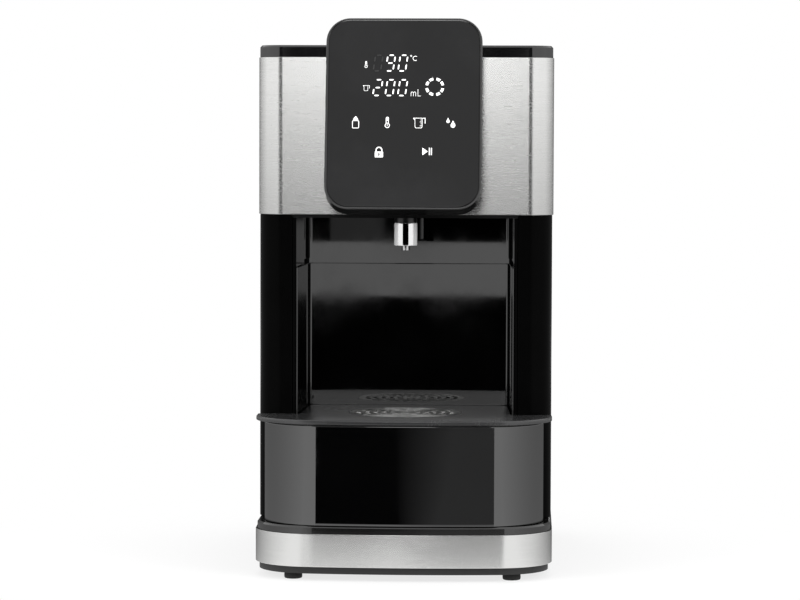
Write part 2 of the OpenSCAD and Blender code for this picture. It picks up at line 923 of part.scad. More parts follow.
module heater_clamps() color("#8a8c90") {
    for (z = clamps_at)
        translate([heater_x, heater_y, z])
            difference() {
                union() {
                    cylinder(h = clamp_h, r = heater_r + clamp_t, $fn = 96);
                    translate([-8, -(heater_y - y_chassis_back), 0])
                        cube([16, heater_y - y_chassis_back - heater_r, clamp_h]);
                }
                translate([0, 0, -cut])
                    cylinder(h = clamp_h + 2 * cut, r = heater_r + fit, $fn = 96);
            }
}

module thermostats() color("#3b3b3b") {
    for (i = [0, 1])
        translate([heater_x, heater_y, z_heater + (0.42 + 0.18 * i) * heater_l])
            difference() {
                rotate([0, 90, 0]) cylinder(h = heater_r + 8, r = 7, $fn = 64);
                translate([0, 0, -10]) cylinder(h = 20, r = heater_r + fit, $fn = 96);
            }
}

// Pump, on three rubber mounts
pump_x = hose_x;
pump_plate_z = z_deck + 14;
pump_plate_t = 3;
pump_head_h = 20;
motor_r = 17.5;
motor_l = 50;
z_pump_head = pump_plate_z + pump_plate_t;
z_motor = z_pump_head + pump_head_h;
mounts_at = [for (i = [0:2]) [17 * cos(90 + 120 * i), 17 * sin(90 + 120 * i)]];
z_pump_port = z_pump_head + pump_head_h / 2;

module pump_base() color("#8a8c90") {
    translate([pump_x, pump_y, pump_plate_z])
        difference() {
            cylinder(h = pump_plate_t, r = pump_plate_r, $fn = 96);
            for (p = mounts_at)
                translate([p[0], p[1], -cut])
                    cylinder(h = pump_plate_t + 2 * cut, r = 2, $fn = 40);
        }
}

module pump_mounts() color("#303030") {
    for (p = mounts_at)
        translate([pump_x + p[0], pump_y + p[1], z_deck]) {
            cylinder(h = pump_plate_z - z_deck, r = 5, $fn = 48);
            cylinder(h = z_pump_head - z_deck, r = 2 - fit, $fn = 40);
        }
}

module pump_head() color("#cfcbbf") {
    translate([pump_x, pump_y, z_pump_head]) {
        cylinder(h = pump_head_h, r = pump_head_r, $fn = 96);
        translate([0, 0, pump_head_h / 2]) {
            rotate([-90, 0, 0]) cylinder(h = pump_head_r + spigot_l, r = spigot_r, $fn = 40);
            rotate([0, -90, 0]) cylinder(h = pump_head_r + spigot_l, r = spigot_r, $fn = 40);
        }
    }
}

module pump_motor() color("#9b9da1") {
    translate([pump_x, pump_y, z_motor]) {
        cylinder(h = motor_l, r = motor_r, $fn = 96);
        translate([0, 0, motor_l]) cylinder(h = 4, r = 6, $fn = 48);
    }
}

// Flow meter in the base, on the way from the dock to the pump
meter_r = 10;
meter_h = 15;
meter_spigot_l = 7;
meter_x = hose_x / 2;
hose_z = pan_floor + meter_h / 2;

module flow_meter() color("#e3dfd2") {
    translate([meter_x, y_valve, pan_floor]) {
        cylinder(h = meter_h, r = meter_r, $fn = 64);
        translate([0, 0, meter_h / 2])
            rotate([0, 90, 0])
                translate([0, 0, -(meter_r + meter_spigot_l)])
                    cylinder(h = 2 * (meter_r + meter_spigot_l), r = spigot_r, $fn = 40);
    }
}

inlet_points = [
    [0, y_valve, z_rim - 1],
    [0, y_valve, hose_z],
    [meter_x - meter_r - 0.2, y_valve, hose_z]
];
pump_points = [
    [meter_x + meter_r + 0.2, y_valve, hose_z],
    [hose_x, y_valve, hose_z],
    [hose_x, hose_y, hose_z],
    [hose_x, hose_y, z_pump_port],
    [hose_x, pump_y + pump_head_r + 0.2, z_pump_port]
];
heater_points = [
    [pump_x - pump_head_r - 0.2, pump_y, z_pump_port],
    [heater_x, pump_y, z_pump_port],
    [heater_x, heater_y, z_pump_port + 12],
    [heater_x, heater_y, z_heater - cap_h - 0.2]
];
outlet_points = [
    [heater_x, heater_y, z_heater_top + cap_h + 0.2],
    [heater_x, heater_y, z_outlet + 8],
    [0, y_face + 66, z_outlet],
    [0, y_chamber + chamber_r + 0.2, z_outlet]
];

module inlet_hose() color("#d7d7d7") hose(inlet_points);
module pump_hose() color("#d7d7d7") hose(pump_points);
module heater_hose() color("#d7d7d7") hose(heater_points);
module outlet_hose() color("#d7d7d7") hose(outlet_points);

// Power board on four standoffs behind the chassis
pcb_w = 84;
pcb_h = 92;
pcb_x = 8;
pcb_z = z_motor + motor_l + 12;
pcb_edge = 5;
standoff_l = 7;
standoff_r = 3;
y_board = y_chassis_back + standoff_l;
standoffs_at = [
    for (x = [pcb_edge, pcb_w - pcb_edge], z = [pcb_edge, pcb_h - pcb_edge]) [pcb_x + x, pcb_z + z]
];

module board_standoffs() color("#c8a95a") {
    for (p = standoffs_at)
        translate([p[0], y_chassis_back, p[1]])
            rotate([-90, 0, 0]) cylinder(h = standoff_l, r = standoff_r, $fn = 6);
}

module power_board() color("#205030") {
    translate([pcb_x, y_board, pcb_z]) cube([pcb_w, board_t, pcb_h]);
}

// Relay, transformer, two heat sinks and a connector: place on the board, then size
board_blocks = [
    [[8, 12], [22, 18, 18]],
    [[8, 38], [18, 14, 28]],
    [[38, 14], [30, 22, 4]],
    [[38, 24], [30, 22, 4]],
    [[40, 40], [30, 10, 12]]
];
capacitor_r = 5.5;
capacitor_l = 20;
capacitors_at = [[42, 66], [56, 66], [70, 66]];

module board_parts() color("#7d7f84")
    translate([pcb_x, y_board + board_t, pcb_z]) {
        for (b = board_blocks)
            translate([b[0][0], 0, b[0][1]]) cube(b[1]);
        for (p = capacitors_at)
            translate([p[0], 0, p[1]])
                rotate([-90, 0, 0]) cylinder(h = capacitor_l, r = capacitor_r, $fn = 48);
    }

// Points of the lead from the display to the power board.
lead_x = 62;
y_lead = y_board + board_t / 2;
lead_points = [
    [0, console_y(board_d + board_t, lead_h) + 0.9, z_window],
    [0, y_lead, z_window],
    [lead_x, y_lead, z_window],
    [lead_x, y_lead, pcb_z + pcb_h + lift_gap]
];

module display_lead() color("#d8d4c8") {
    lead_bend = 1.03;
    last = len(lead_points) - 1;
    for (i = [0:last - 1])
        rod(lead_points[i], lead_points[i + 1], lead_r);
    for (i = [1:last - 1])
        translate(lead_points[i]) sphere(lead_r * lead_bend, $fn = 40);
}

// Drip tray, platform and grille
tray_half = base_half - tray_side_inset;
tray_front = y_front + 1.5;
tray_back = y_bay - liner_t - 1.8;
tray_face_back = y_face - lift_gap - 0.2;
tray_side_gap = 1;
platform_side_gap = 0.7;
overlap_y = 20;

module tray_outline(inset) {
    intersection() {
        bowed_outline(tray_half - inset, tray_front + inset, tray_corner_r - inset,
            bow_r - inset, y_back, rear_corner_r);
        translate([-base_w, y_front - cut])
            square([2 * base_w, tray_face_back - inset - y_front + cut]);
    }
    intersection() {
        bay_outline(-liner_t - tray_side_gap - inset, y_face - overlap_y,
            tray_rear_r + liner_t + tray_side_gap);
        translate([-base_w, y_face - overlap_y])
            square([2 * base_w, tray_back - inset - y_face + overlap_y]);
    }
}

// The rail grooves are open behind and end before the front, which stays whole.
module drip_tray() color("#161617") {
    difference() {
        translate([0, 0, z_tray]) linear_extrude(tray_h) tray_outline(0);
        translate([0, 0, z_tray + tray_floor]) linear_extrude(tray_h) tray_outline(wall);
        for (side = [-1, 1])
            translate([side * rail_x - rail_w / 2 - lift_gap, rail_front - lift_gap, z_tray - cut])
                cube([rail_w + 2 * lift_gap, total_depth, rail_h + cut]);
    }
}

platform_back = y_bay - liner_t - 0.8;
grille_y = y_nozzle + 4;
grille_t = 1.6;
seat_r = grille_r - 3;

module platform_outline(inset) {
    intersection() {
        base_outline(0.3 + inset);
        translate([-base_w, y_front - cut])
            square([2 * base_w, tray_face_back - y_front + cut]);
    }
    intersection() {
        bay_outline(-liner_t - platform_side_gap, y_face - overlap_y,
            tray_rear_r + liner_t + platform_side_gap);
        translate([-base_w, y_face - overlap_y])
            square([2 * base_w, platform_back - y_face + overlap_y]);
    }
}

module drip_platform() color("#3a3b3c") {
    chamfer = 0.8;
    difference() {
        union() {
            translate([0, 0, z_cover]) linear_extrude(platform_t - chamfer) platform_outline(0);
            translate([0, 0, z_cover]) linear_extrude(platform_t) platform_outline(chamfer);
            translate([0, 0, z_tray_top - 4])
                linear_extrude(groove_h + 4 + cut)
                    difference() {
                        tray_outline(wall + 2 * lift_gap);
                        tray_outline(wall + 2 * lift_gap + 1.6);
                    }
        }
        translate([0, grille_y, z_platform - grille_t])
            cylinder(h = grille_t + cut, r = grille_r + fit, $fn = 96);
        translate([0, grille_y, z_cover - cut])
            cylinder(h = platform_t + 2 * cut, r = seat_r, $fn = 96);
    }
}

// Concentric rings of slots between radial webs.
module drip_grille() color("#b4b4b2") {
    web = slot_w;
    rings = floor((grille_r - 10) / (slot_w + web));
    translate([0, grille_y, z_platform - grille_t])
        linear_extrude(grille_t)
            difference() {
                circle(grille_r, $fn = 96);
                for (i = [0:rings - 1]) {
                    inner = 8 + i * (slot_w + web);
                    difference() {
                        circle(inner + slot_w, $fn = 96);
                        circle(inner, $fn = 96);
                        for (k = [0:slot_count - 1])
                            rotate(360 / slot_count * (k + 0.5 * (i % 2)))
                                translate([0, -0.4 * web]) square([grille_r, 0.8 * web]);
                    }
                }
            }
}

// Tank
tank_half = body_half - 1;
tank_z = z_deck + lift_gap;
tank_rim = z_top;
hinge_y = y_back - 5.5;
hinge_z = z_lid + 3.2;
knuckle_r = 4;
knuckle_x = 60;
knuckle_w = 11;
ear_w = 5;
rear_drop = 3;

module tank_outline(inset) {
    back = y_back - 1;
    half_w = tank_half - inset;
    r_back = rear_corner_r - inset;
    r_front = 4 - min(inset, 2.5);
    for (side = [-1, 1]) {
        translate([side * (half_w - r_back), back - inset - r_back]) circle(r_back, $fn = 64);
        translate([side * (half_w - r_front), y_tank + inset + r_front]) circle(r_front, $fn = 40);
    }
    translate([-half_w, y_tank + inset + r_front])
        square([2 * half_w, tank_depth - 2 * inset - r_front - r_back]);
    translate([-(half_w - r_back), y_tank + inset + r_front])
        square([2 * (half_w - r_back), tank_depth - 2 * inset - r_front]);
    translate([-(half_w - r_front), y_tank + inset])
        square([2 * (half_w - r_front), tank_depth / 2]);
}

// Hinge ears stand on the rear wall, two for each knuckle.
module tank_ears() {
    for (side = [-1, 1], edge = [-1, 1])
        translate([side * knuckle_x + edge * (knuckle_w / 2 + ear_w / 2 + lift_gap) - ear_w / 2, hinge_y, 0]) {
            translate([0, 0, hinge_z])
                rotate([0, 90, 0]) cylinder(h = ear_w, r = knuckle_r, $fn = 48);
            translate([0, -knuckle_r, tank_rim - 12])
                cube([ear_w, 2 * knuckle_r, hinge_z - tank_rim + 12]);
        }
}

module tank_shell() color([0.25, 0.26, 0.28, 0.55]) {
    difference() {
        union() {
            difference() {
                translate([0, 0, tank_z]) linear_extrude(tank_rim - tank_z) tank_outline(0);
                translate([0, 0, z_tank_floor + tank_wall])
                    linear_extrude(tank_rim) tank_outline(tank_wall);
                translate([0, 0, tank_z - cut])
                    linear_extrude(z_tank_floor - tank_z + cut) tank_outline(tank_wall);
                translate([-body_w, hinge_y - knuckle_r - 3, tank_rim - rear_drop])
                    cube([2 * body_w, tank_depth, rear_drop + cut]);
            }
            tank_ears();
        }
        translate([0, y_valve, z_tank_floor - cut])
            cylinder(h = tank_wall + 2 * cut, r = valve_r + fit, $fn = 96);
        for (side = [-1, 1])
            translate([side * knuckle_x - knuckle_w, hinge_y, hinge_z])
                rotate([0, 90, 0]) cylinder(h = 2 * knuckle_w, r = pin_r + 0.02, $fn = 48);
    }
}

module lid_pins() color("#a9a9a9") {
    pin_l = knuckle_w + 2 * ear_w;
    for (side = [-1, 1])
        translate([side * knuckle_x - pin_l / 2, hinge_y, hinge_z])
            rotate([0, 90, 0]) cylinder(h = pin_l, r = pin_r, $fn = 48);
}

lid_front = y_tank - 0.4;
lid_half = body_half + 0.1;
lid_corner_r = rear_corner_r;

module lid_outline(inset) {
    half_w = lid_half - inset;
    r = lid_corner_r - inset;
    for (side = [-1, 1])
        translate([side * (half_w - r), y_back - 0.5 - inset - r]) circle(r, $fn = 64);
    translate([-half_w, lid_front + inset])
        square([2 * half_w, y_back - 0.5 - inset - r - lid_front - inset]);
    translate([-(half_w - r), lid_front + inset])
        square([2 * (half_w - r), y_back - 0.5 - 2 * inset - lid_front]);
}

module tank_lid() color("#2b2b2c") {
    ear_gap = knuckle_w + 2 * ear_w + 4 * lift_gap;
    difference() {
        union() {
            difference() {
                union() {
                    hull() {
                        translate([0, 0, z_lid]) linear_extrude(lid_h - lid_chamfer) lid_outline(0);
                        translate([0, 0, z_lid]) linear_extrude(lid_h) lid_outline(lid_chamfer);
                    }
                    locating_rib();
                }
                for (side = [-1, 1])
                    translate([side * knuckle_x - ear_gap / 2, hinge_y - knuckle_r - 1, z_lid - cut])
                        cube([ear_gap, tank_depth, lid_h + 2 * cut]);
            }
            for (side = [-1, 1]) {
                translate([side * knuckle_x - knuckle_w / 2, hinge_y, hinge_z])
                    rotate([0, 90, 0]) cylinder(h = knuckle_w, r = knuckle_r, $fn = 48);
                translate([side * knuckle_x - knuckle_w / 2, hinge_y - knuckle_r - 2, z_lid])
                    cube([knuckle_w, knuckle_r + 2, 2 * (hinge_z - z_lid)]);
            }
        }
        for (side = [-1, 1])
            translate([side * knuckle_x - knuckle_w, hinge_y, hinge_z])
                rotate([0, 90, 0]) cylinder(h = 2 * knuckle_w, r = pin_r + run_gap, $fn = 48);
        translate([0, 0, z_lid - cut])
            linear_extrude(lid_h - wall + cut)
                intersection() {
                    lid_outline(3 * wall);
                    translate([-body_w, lid_front])
                        square([2 * body_w, hinge_y - knuckle_r - 4 - lid_front]);
                }
    }
}

// Rib under the lid that keeps it in place between the tank's walls.
module locating_rib() {
    rib_gap = 1.2;
    translate([0, 0, z_lid - 4.5])
        linear_extrude(4.5 + cut)
            intersection() {
                difference() {
                    tank_outline(tank_wall + rib_gap);
                    tank_outline(tank_wall + rib_gap + 1.6);
                }
                translate([-body_w, y_tank]) square([2 * body_w, tank_depth - 22]);
            }
}

// Valve: the dock's post lifts the plunger while the tank is seated
z_valve_low = z_deck + dock_floor_t + 1.2;
valve_flange_t = 2;
valve_flange_r = valve_r + 3;
valve_wall = 3;
z_seat = z_tank_floor + tank_wall + valve_flange_t;
disc_r = 7;
disc_t = 2;
seal_t = 0.9;
stem_r = 1.8;
seat_bore_r = 4.5;
stem_foot_r = 3.6;
stem_foot_t = 0.8;
spring_l = 3.6;
z_stem_foot = z_valve_low - 0.6 + valve_travel;
web_z = z_stem_foot + stem_foot_t + spring_l;
web_t = 1.4;
z_disc = z_seat + seal_t + lift_gap + valve_travel;

module valve_body() color("#dcdad2") {
    translate([0, y_valve, 0])
        difference() {
            union() {
                translate([0, 0, z_valve_low])
                    cylinder(h = z_seat - z_valve_low, r = valve_r, $fn = 96);
                translate([0, 0, z_tank_floor + tank_wall])
                    cylinder(h = valve_flange_t, r = valve_flange_r, $fn = 96);
            }
            translate([0, 0, web_z + web_t])
                cylinder(h = z_seat, r = seat_bore_r, $fn = 64);
            translate([0, 0, z_valve_low - cut])
                cylinder(h = web_z - z_valve_low + cut, r = valve_r - valve_wall, $fn = 64);
            cylinder(h = z_seat, r = stem_r + run_gap, $fn = 48);
            for (a = [0:60:300])
                rotate(a)
                    translate([3.2, 0, web_z - cut]) cylinder(h = web_t + 2 * cut, r = 0.8, $fn = 24);
        }
}

module valve_plunger() color("#f0f0ee") {
    translate([0, y_valve, 0]) {
        translate([0, 0, z_disc]) cylinder(h = disc_t, r = disc_r, $fn = 64);
        translate([0, 0, z_stem_foot]) cylinder(h = z_disc - z_stem_foot + 0.5, r = stem_r, $fn = 48);
        translate([0, 0, z_stem_foot]) cylinder(h = stem_foot_t, r = stem_foot_r, $fn = 48);
    }
}

module valve_seal() color("#8c2f24") {
    translate([0, y_valve, z_disc - seal_t])
        difference() {
            cylinder(h = seal_t, r = disc_r - 0.5, $fn = 64);
            translate([0, 0, -cut]) cylinder(h = seal_t + 2 * cut, r = stem_r + fit, $fn = 48);
        }
}

module valve_spring() color("#bfc1c4") {
    spring_low = z_stem_foot + stem_foot_t + fit;
    translate([0, y_valve, spring_low])
        difference() {
            cylinder(h = web_z - fit - spring_low, r = 3, $fn = 48);
            translate([0, 0, -cut]) cylinder(h = web_z - spring_low + cut, r = 2.3, $fn = 48);
        }
}

module inlet_filter() color("#e8e8e8") {
    filter_r = valve_r + 2;
    filter_h = 16;
    translate([0, y_valve, z_seat])
        difference() {
            cylinder(h = filter_h, r = filter_r, $fn = 96);
            translate([0, 0, -cut]) cylinder(h = filter_h - 1.2 + cut, r = filter_r - 1.2, $fn = 96);
            for (a = [0:30:330])
                rotate(a)
                    translate([filter_r - 3, -1, 3]) cube([6, 2, filter_h - 6]);
        }
}

module tank_dock() color("#cfcbbf") {
    translate([0, y_valve, 0])
        difference() {
            union() {
                translate([0, 0, z_rim]) cylinder(h = z_deck + dock_h - z_rim, r = dock_r, $fn = 96);
                translate([0, 0, z_deck]) cylinder(h = 1.2, r = dock_flange_r, $fn = 96);
                translate([0, 0, z_rim - spigot_l]) cylinder(h = spigot_l + 1, r = spigot_r, $fn = 48);
            }
            difference() {
                translate([0, 0, z_deck + dock_floor_t])
                    cylinder(h = dock_h + cut, r = dock_wall_r, $fn = 96);
                cylinder(h = z_stem_foot - lift_gap, r = dock_post_r, $fn = 48);
            }
            translate([0, 0, z_deck + dock_h - 2.6])
                cylinder(h = 1.6, r = dock_wall_r + 1, $fn = 96);
            translate([0, 0, z_rim - spigot_l - cut])
                cylinder(h = z_deck - z_rim + spigot_l, r = dock_duct_r - 1, $fn = 40);
            for (a = [0:90:270])
                rotate(a)
                    translate([0, -0.8, z_deck - 2]) cube([dock_wall_r - 3, 1.6, dock_floor_t + 3]);
        }
}

module dock_seal() color("#8c2f24") {
    translate([0, y_valve, z_deck + dock_h - 2.6 + 0.1])
        difference() {
            cylinder(h = 1.4, r = dock_wall_r + 1 - fit, $fn = 96);
            translate([0, 0, -cut]) cylinder(h = 1.4 + 2 * cut, r = valve_r + 0.2, $fn = 96);
        }
}

base_pan();
base_band();
base_deck();
feet();
base_screws();
mains_gland();
side_cover_left();
side_cover_right();
bay_frame();
bay_liner();
chassis();
rear_wall();
head_frame();
head_sleeve();
head_underside();
top_cover();
console_frame();
console_glass();
console_housing();
console_screws();
display_board();
display_block();
touch_pads();
display_lead();
nozzle_collar();
nozzle_sleeve();
nozzle_tube();
outlet_chamber();
outlet_sensor();
heater_tube();
heater_caps();
heater_clamps();
thermostats();
pump_base();
pump_mounts();
pump_head();
pump_motor();
flow_meter();
inlet_hose();
pump_hose();
heater_hose();
outlet_hose();
power_board();
board_parts();
board_standoffs();
drip_tray();
drip_platform();
drip_grille();
tank_shell();
tank_lid();
lid_pins();
inlet_filter();
valve_body();
valve_plunger();
valve_seal();
valve_spring();
tank_dock();
dock_seal();
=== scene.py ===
"""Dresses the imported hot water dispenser: finishes, rounded shells, panel symbols, floor, lamps and camera."""

import math

import bmesh
import bpy
import numpy as np
from bpy.props import FloatProperty, FloatVectorProperty, PointerProperty
from mathutils import Matrix, Vector
from mathutils.geometry import tessellate_polygon


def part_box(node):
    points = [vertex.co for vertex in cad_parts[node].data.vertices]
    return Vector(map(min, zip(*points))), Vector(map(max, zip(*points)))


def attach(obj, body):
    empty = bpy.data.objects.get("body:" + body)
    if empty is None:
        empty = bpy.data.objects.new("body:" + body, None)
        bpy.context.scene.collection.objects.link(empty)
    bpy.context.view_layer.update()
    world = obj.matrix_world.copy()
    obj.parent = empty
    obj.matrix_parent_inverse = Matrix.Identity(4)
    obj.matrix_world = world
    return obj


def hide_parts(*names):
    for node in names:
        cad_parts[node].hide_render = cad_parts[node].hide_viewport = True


bl_info = {
    "name": "Hot Water Dispenser",
    "version": (1, 0, 0),
    "blender": (4, 5, 0),
    "location": "3D View > Sidebar > Dispenser",
    "description": "Builds the looks of a countertop hot water dispenser round its packed frame",
    "category": "Add Mesh",
}

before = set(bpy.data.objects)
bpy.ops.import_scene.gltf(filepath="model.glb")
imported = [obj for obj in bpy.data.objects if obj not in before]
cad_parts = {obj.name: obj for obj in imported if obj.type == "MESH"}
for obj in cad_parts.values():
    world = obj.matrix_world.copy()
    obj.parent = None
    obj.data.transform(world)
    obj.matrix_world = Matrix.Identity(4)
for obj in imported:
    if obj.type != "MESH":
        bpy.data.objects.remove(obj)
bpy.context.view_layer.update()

MM = 0.001


def low(node):
    """Lowest corner of a CAD node."""
    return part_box(node)[0]


def high(node):
    """Highest corner of a CAD node."""
    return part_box(node)[1]


def length(name, millimetres, description):
    """A length property whose default is given in millimetres."""
    return FloatProperty(name=name, description=description, default=millimetres * MM,
                         min=0.0, unit="LENGTH", precision=5)


def colour(name, rgb, description):
    """A colour property in linear RGB."""
    return FloatVectorProperty(name=name, description=description, default=rgb,
                               min=0.0, max=1.0, size=3, subtype="COLOR")


class DispenserSizes(bpy.types.PropertyGroup):
    """Radii and walls that the shells repeat from the construction"""
    bow: length("Bow", 600, "Radius of the bowed front, seen from above")
    base_corner: length("Base corner", 41, "Radius of the base's front corners")
    tray_corner: length("Tray corner", 43, "Radius of the drip tray's front corners")
    rear_corner: length("Rear corner", 14, "Radius of the base's rear corners")
    tray_rear_corner: length("Tray rear corner", 9, "Radius of the drip tray's rear corners")
    head_corner: length("Head corner", 17, "Radius of the head's and columns' corners")
    bay_corner: length("Bay corner", 3.5, "Radius at the back of the cup bay")
    bay_draft: length("Bay draft", 3, "How much each bay wall closes in towards the back")
    wall: length("Wall", 2.5, "Wall thickness of the mouldings")
    skin: length("Skin", 0.8, "Thickness of the stainless sheets")
    liner: length("Liner", 1.2, "Thickness of the bay liner")
    console_width: length("Console width", 109, "Width of the touch console")
    console_length: length("Console length", 137, "Length of the touch console")
    console_depth: length("Console depth", 17.5, "Thickness of the touch console")
    console_corner: length("Console corner", 17, "Corner radius of the touch console")
    console_rim: length("Console rim", 2, "Width of the console's grey rim")
    console_lean: FloatProperty(name="Console lean", description="How far the console leans back",
                                default=math.radians(14.4), subtype="ANGLE")


class DispenserColours(bpy.types.PropertyGroup):
    """Colours of the finishes"""
    steel: colour("Steel", (0.74, 0.74, 0.73), "Brushed stainless sheet")
    chrome: colour("Chrome", (0.86, 0.86, 0.86), "Polished nozzle sleeve")
    gloss_black: colour("Gloss black", (0.0012, 0.0012, 0.0013), "Cup bay and drip tray")
    column_black: colour("Column black", (0.0012, 0.0012, 0.0012), "Column and side covers")
    cover_black: colour("Cover black", (0.006, 0.006, 0.0062), "Top cover and tank lid")
    deck_black: colour("Deck black", (0.004, 0.0038, 0.0036), "Deck and its rim")
    plinth_grey: colour("Plinth grey", (0.012, 0.012, 0.012), "Plinth and base pan")
    rim_grey: colour("Rim grey", (0.014, 0.014, 0.014), "Console rim")
    glass_grey: colour("Glass grey", (0.012, 0.012, 0.0123), "Console glass")
    symbol_white: colour("Symbol white", (0.86, 0.86, 0.85), "Digits and touch symbols")
    tank_smoke: colour("Tank smoke", (0.56, 0.585, 0.61), "Tinted water tank")


class DispenserLight(bpy.types.PropertyGroup):
    """Levels of the lamps and the surroundings"""
    room: FloatProperty(name="Room", description="Strength of the pale surroundings", default=0.55, min=0)
    side_boxes: FloatProperty(name="Side boxes", description="Power of the two side softboxes",
                              default=24.0, min=0, unit="POWER")
    top_box: FloatProperty(name="Top box", description="Power of the overhead softbox",
                           default=14.0, min=0, unit="POWER")


def sizes():
    return bpy.context.scene.dispenser_sizes


def colours():
    return bpy.context.scene.dispenser_colours


def light():
    return bpy.context.scene.dispenser_light


HOLD = 0.25 * MM  # distance of the loops that keep flat faces flat beside a rounding


class Outline:
    """A closed loop seen from above: points, outward normals, and a weight for grooves."""

    def __init__(self, points, normals, weights):
        self.points, self.normals, self.weights = points, normals, weights

    def inset(self, distance, groove=0.0):
        """Points moved along minus the normal by distance + groove * weight."""
        return self.points - (distance + groove * self.weights)[:, None] * self.normals

    def mirrored(self):
        """The same loop with x turned round, in reverse order so it stays counterclockwise."""
        flip = np.array([-1.0, 1.0])
        return Outline((self.points * flip)[::-1], (self.normals * flip)[::-1], self.weights[::-1])


def outline(*arcs):
    """Closed loop of circular arcs (x, y, radius, first angle, last angle, weight), joined by straights.

    A point is centre + radius * (cos a, sin a). Where a grows the arc is convex and its normal is the
    radial direction; where a falls it is concave and the normal points at the centre.
    """
    points, normals, weights = [], [], []
    ends = []
    for x, y, r, a0, a1, *weight in arcs:
        steps = max(3, int(abs(a1 - a0) / 5 * (1 + r / 0.1)) + 1)
        a = np.radians(np.linspace(a0, a1, steps))
        radial = np.stack([np.cos(a), np.sin(a)], -1)
        ends.append((np.array([x, y]) + r * radial, radial * (1 if a1 >= a0 else -1),
                     np.full(steps, weight[0] if weight else 0.0)))
    for i, (p, n, w) in enumerate(ends):
        for other, k in ((ends[i - 1][0][-1], 0), (ends[(i + 1) % len(ends)][0][0], -1)):
            gap = np.linalg.norm(other - p[k])
            if gap > 4 * HOLD:
                extra, at = p[k] + (other - p[k]) / gap * HOLD, len(p) if k else 0
                p, n, w = np.insert(p, at, extra, 0), np.insert(n, at, n[k], 0), np.insert(w, at, w[k])
        points.append(p), normals.append(n), weights.append(w)
    return Outline(np.vstack(points), np.vstack(normals), np.concatenate(weights))


def rounded_rectangle(width, height, radius):
    """Rectangle centred on the origin with equal corner radii."""
    x, y = width / 2 - radius, height / 2 - radius
    return outline((x, -y, radius, -90, 0), (x, y, radius, 0, 90),
                   (-x, y, radius, 90, 180), (-x, -y, radius, 180, 270))


def bowed_arcs(half, front, corner, bow):
    """Front corner, bow and front corner, left to right, and the y where the corners end."""
    bow_y = front + bow
    x = half - corner
    y = bow_y - math.sqrt((bow - corner) ** 2 - x ** 2)
    turn = math.degrees(math.asin(x / (bow - corner)))
    return [(-x, y, corner, 180, 270 - turn), (0, bow_y, bow, 270 - turn, 270 + turn),
            (x, y, corner, 270 + turn, 360)]


def sheet_loop(arcs, thickness, half, back):
    """Loop of a sheet bent along convex arcs, left to right, with round ends at the back of both sides."""
    inner = [(x, y, r - thickness, a1, a0) for x, y, r, a0, a1 in reversed(arcs)]
    tip = thickness / 2
    right, left = ((side * (half - tip), back - tip, tip, 0, 180) for side in (1, -1))
    return outline(*arcs, right, *inner, left)


def round_rows(radius, z, side, steps=5):
    """Quarter circle of (inset, z) rows: side 1 closes upwards at z, side -1 opens upwards from z."""
    a = np.linspace(0, math.pi / 2, steps + 1)
    rows = [(radius * (1 - math.cos(t)), z - side * radius * (1 - math.sin(t))) for t in a]
    return rows if side > 0 else rows[::-1]


def slab_rows(z0, z1, r0, r1):
    """Rows of a plate from z0 to z1 whose lower edge is rounded by r0 and its upper edge by r1."""
    return ([(r0 + HOLD, z0)] + round_rows(r0, z0, -1) + [(0, z0 + r0 + HOLD), (0, z1 - r1 - HOLD)]
            + round_rows(r1, z1, 1) + [(r1 + HOLD, z1)])


def grid_faces(rows, columns, wrap_rows=False):
    """Quads of a grid whose columns close on themselves, and whose rows may."""
    i = np.arange(rows if wrap_rows else rows - 1)[:, None]
    j = np.arange(columns)[None, :]
    k, m = (i + 1) % rows, (j + 1) % columns
    return np.stack(np.broadcast_arrays(i * columns + j, i * columns + m, k * columns + m, k * columns + j),
                    -1).reshape(-1, 4)


def loft(loop, rows, closed=False, caps=True):
    """Carries a loop along rows of (inset, z, groove): every row is the loop moved inwards and set at z."""
    layers = [np.column_stack([loop.inset(row[0], row[2] if len(row) > 2 else 0.0),
                               np.full(len(loop.points), row[1])]) for row in rows]
    columns = len(loop.points)
    verts = np.vstack(layers)
    faces = grid_faces(len(rows), columns, closed).tolist()
    if caps and not closed:
        faces.append(list(range(columns))[::-1])
        faces.append(list(range((len(rows) - 1) * columns, len(rows) * columns)))
    return verts, faces


def lathe(profile, steps=96, centre=(0.0, 0.0, 0.0)):
    """Turns (radius, height) points round a vertical axis; a profile that starts and ends off the axis closes."""
    profile = np.array(profile)
    a = np.linspace(0, 2 * math.pi, steps, endpoint=False)
    ring = profile[:, None, 0, None] * np.stack([np.cos(a), np.sin(a)], -1)[None]
    z = np.broadcast_to(profile[:, 1, None, None], (*ring.shape[:2], 1))
    verts = np.concatenate([ring, z], -1).reshape(-1, 3) + np.array(centre)
    on_axis = profile[0, 0] < 1e-9 and profile[-1, 0] < 1e-9
    return verts, grid_faces(len(profile), steps, not on_axis).tolist()


def join(*parts):
    """One vertex and face list from several."""
    verts, faces, start = [], [], 0
    for v, f in parts:
        verts.append(v)
        faces += [[i + start for i in face] for face in f]
        start += len(v)
    return np.vstack(verts), faces


def plate_with_holes(loops, z, upwards=True):
    """Flat face bounded by the first loop, with the others as holes, all as arrays of x, y points."""
    triangles = tessellate_polygon([[(x, y, 0) for x, y in loop] for loop in loops])
    points = np.vstack(loops)
    verts = np.column_stack([points, np.full(len(points), z)])
    faces = np.array(triangles)
    a, b, c = (points[faces[:, k]] for k in range(3))
    area = (b[:, 0] - a[:, 0]) * (c[:, 1] - a[:, 1]) - (b[:, 1] - a[:, 1]) * (c[:, 0] - a[:, 0])
    turned = (area > 0) != upwards
    faces[turned] = faces[turned][:, ::-1]
    return verts, faces[np.abs(area) > 1e-14].tolist()


SHARP = math.radians(35)


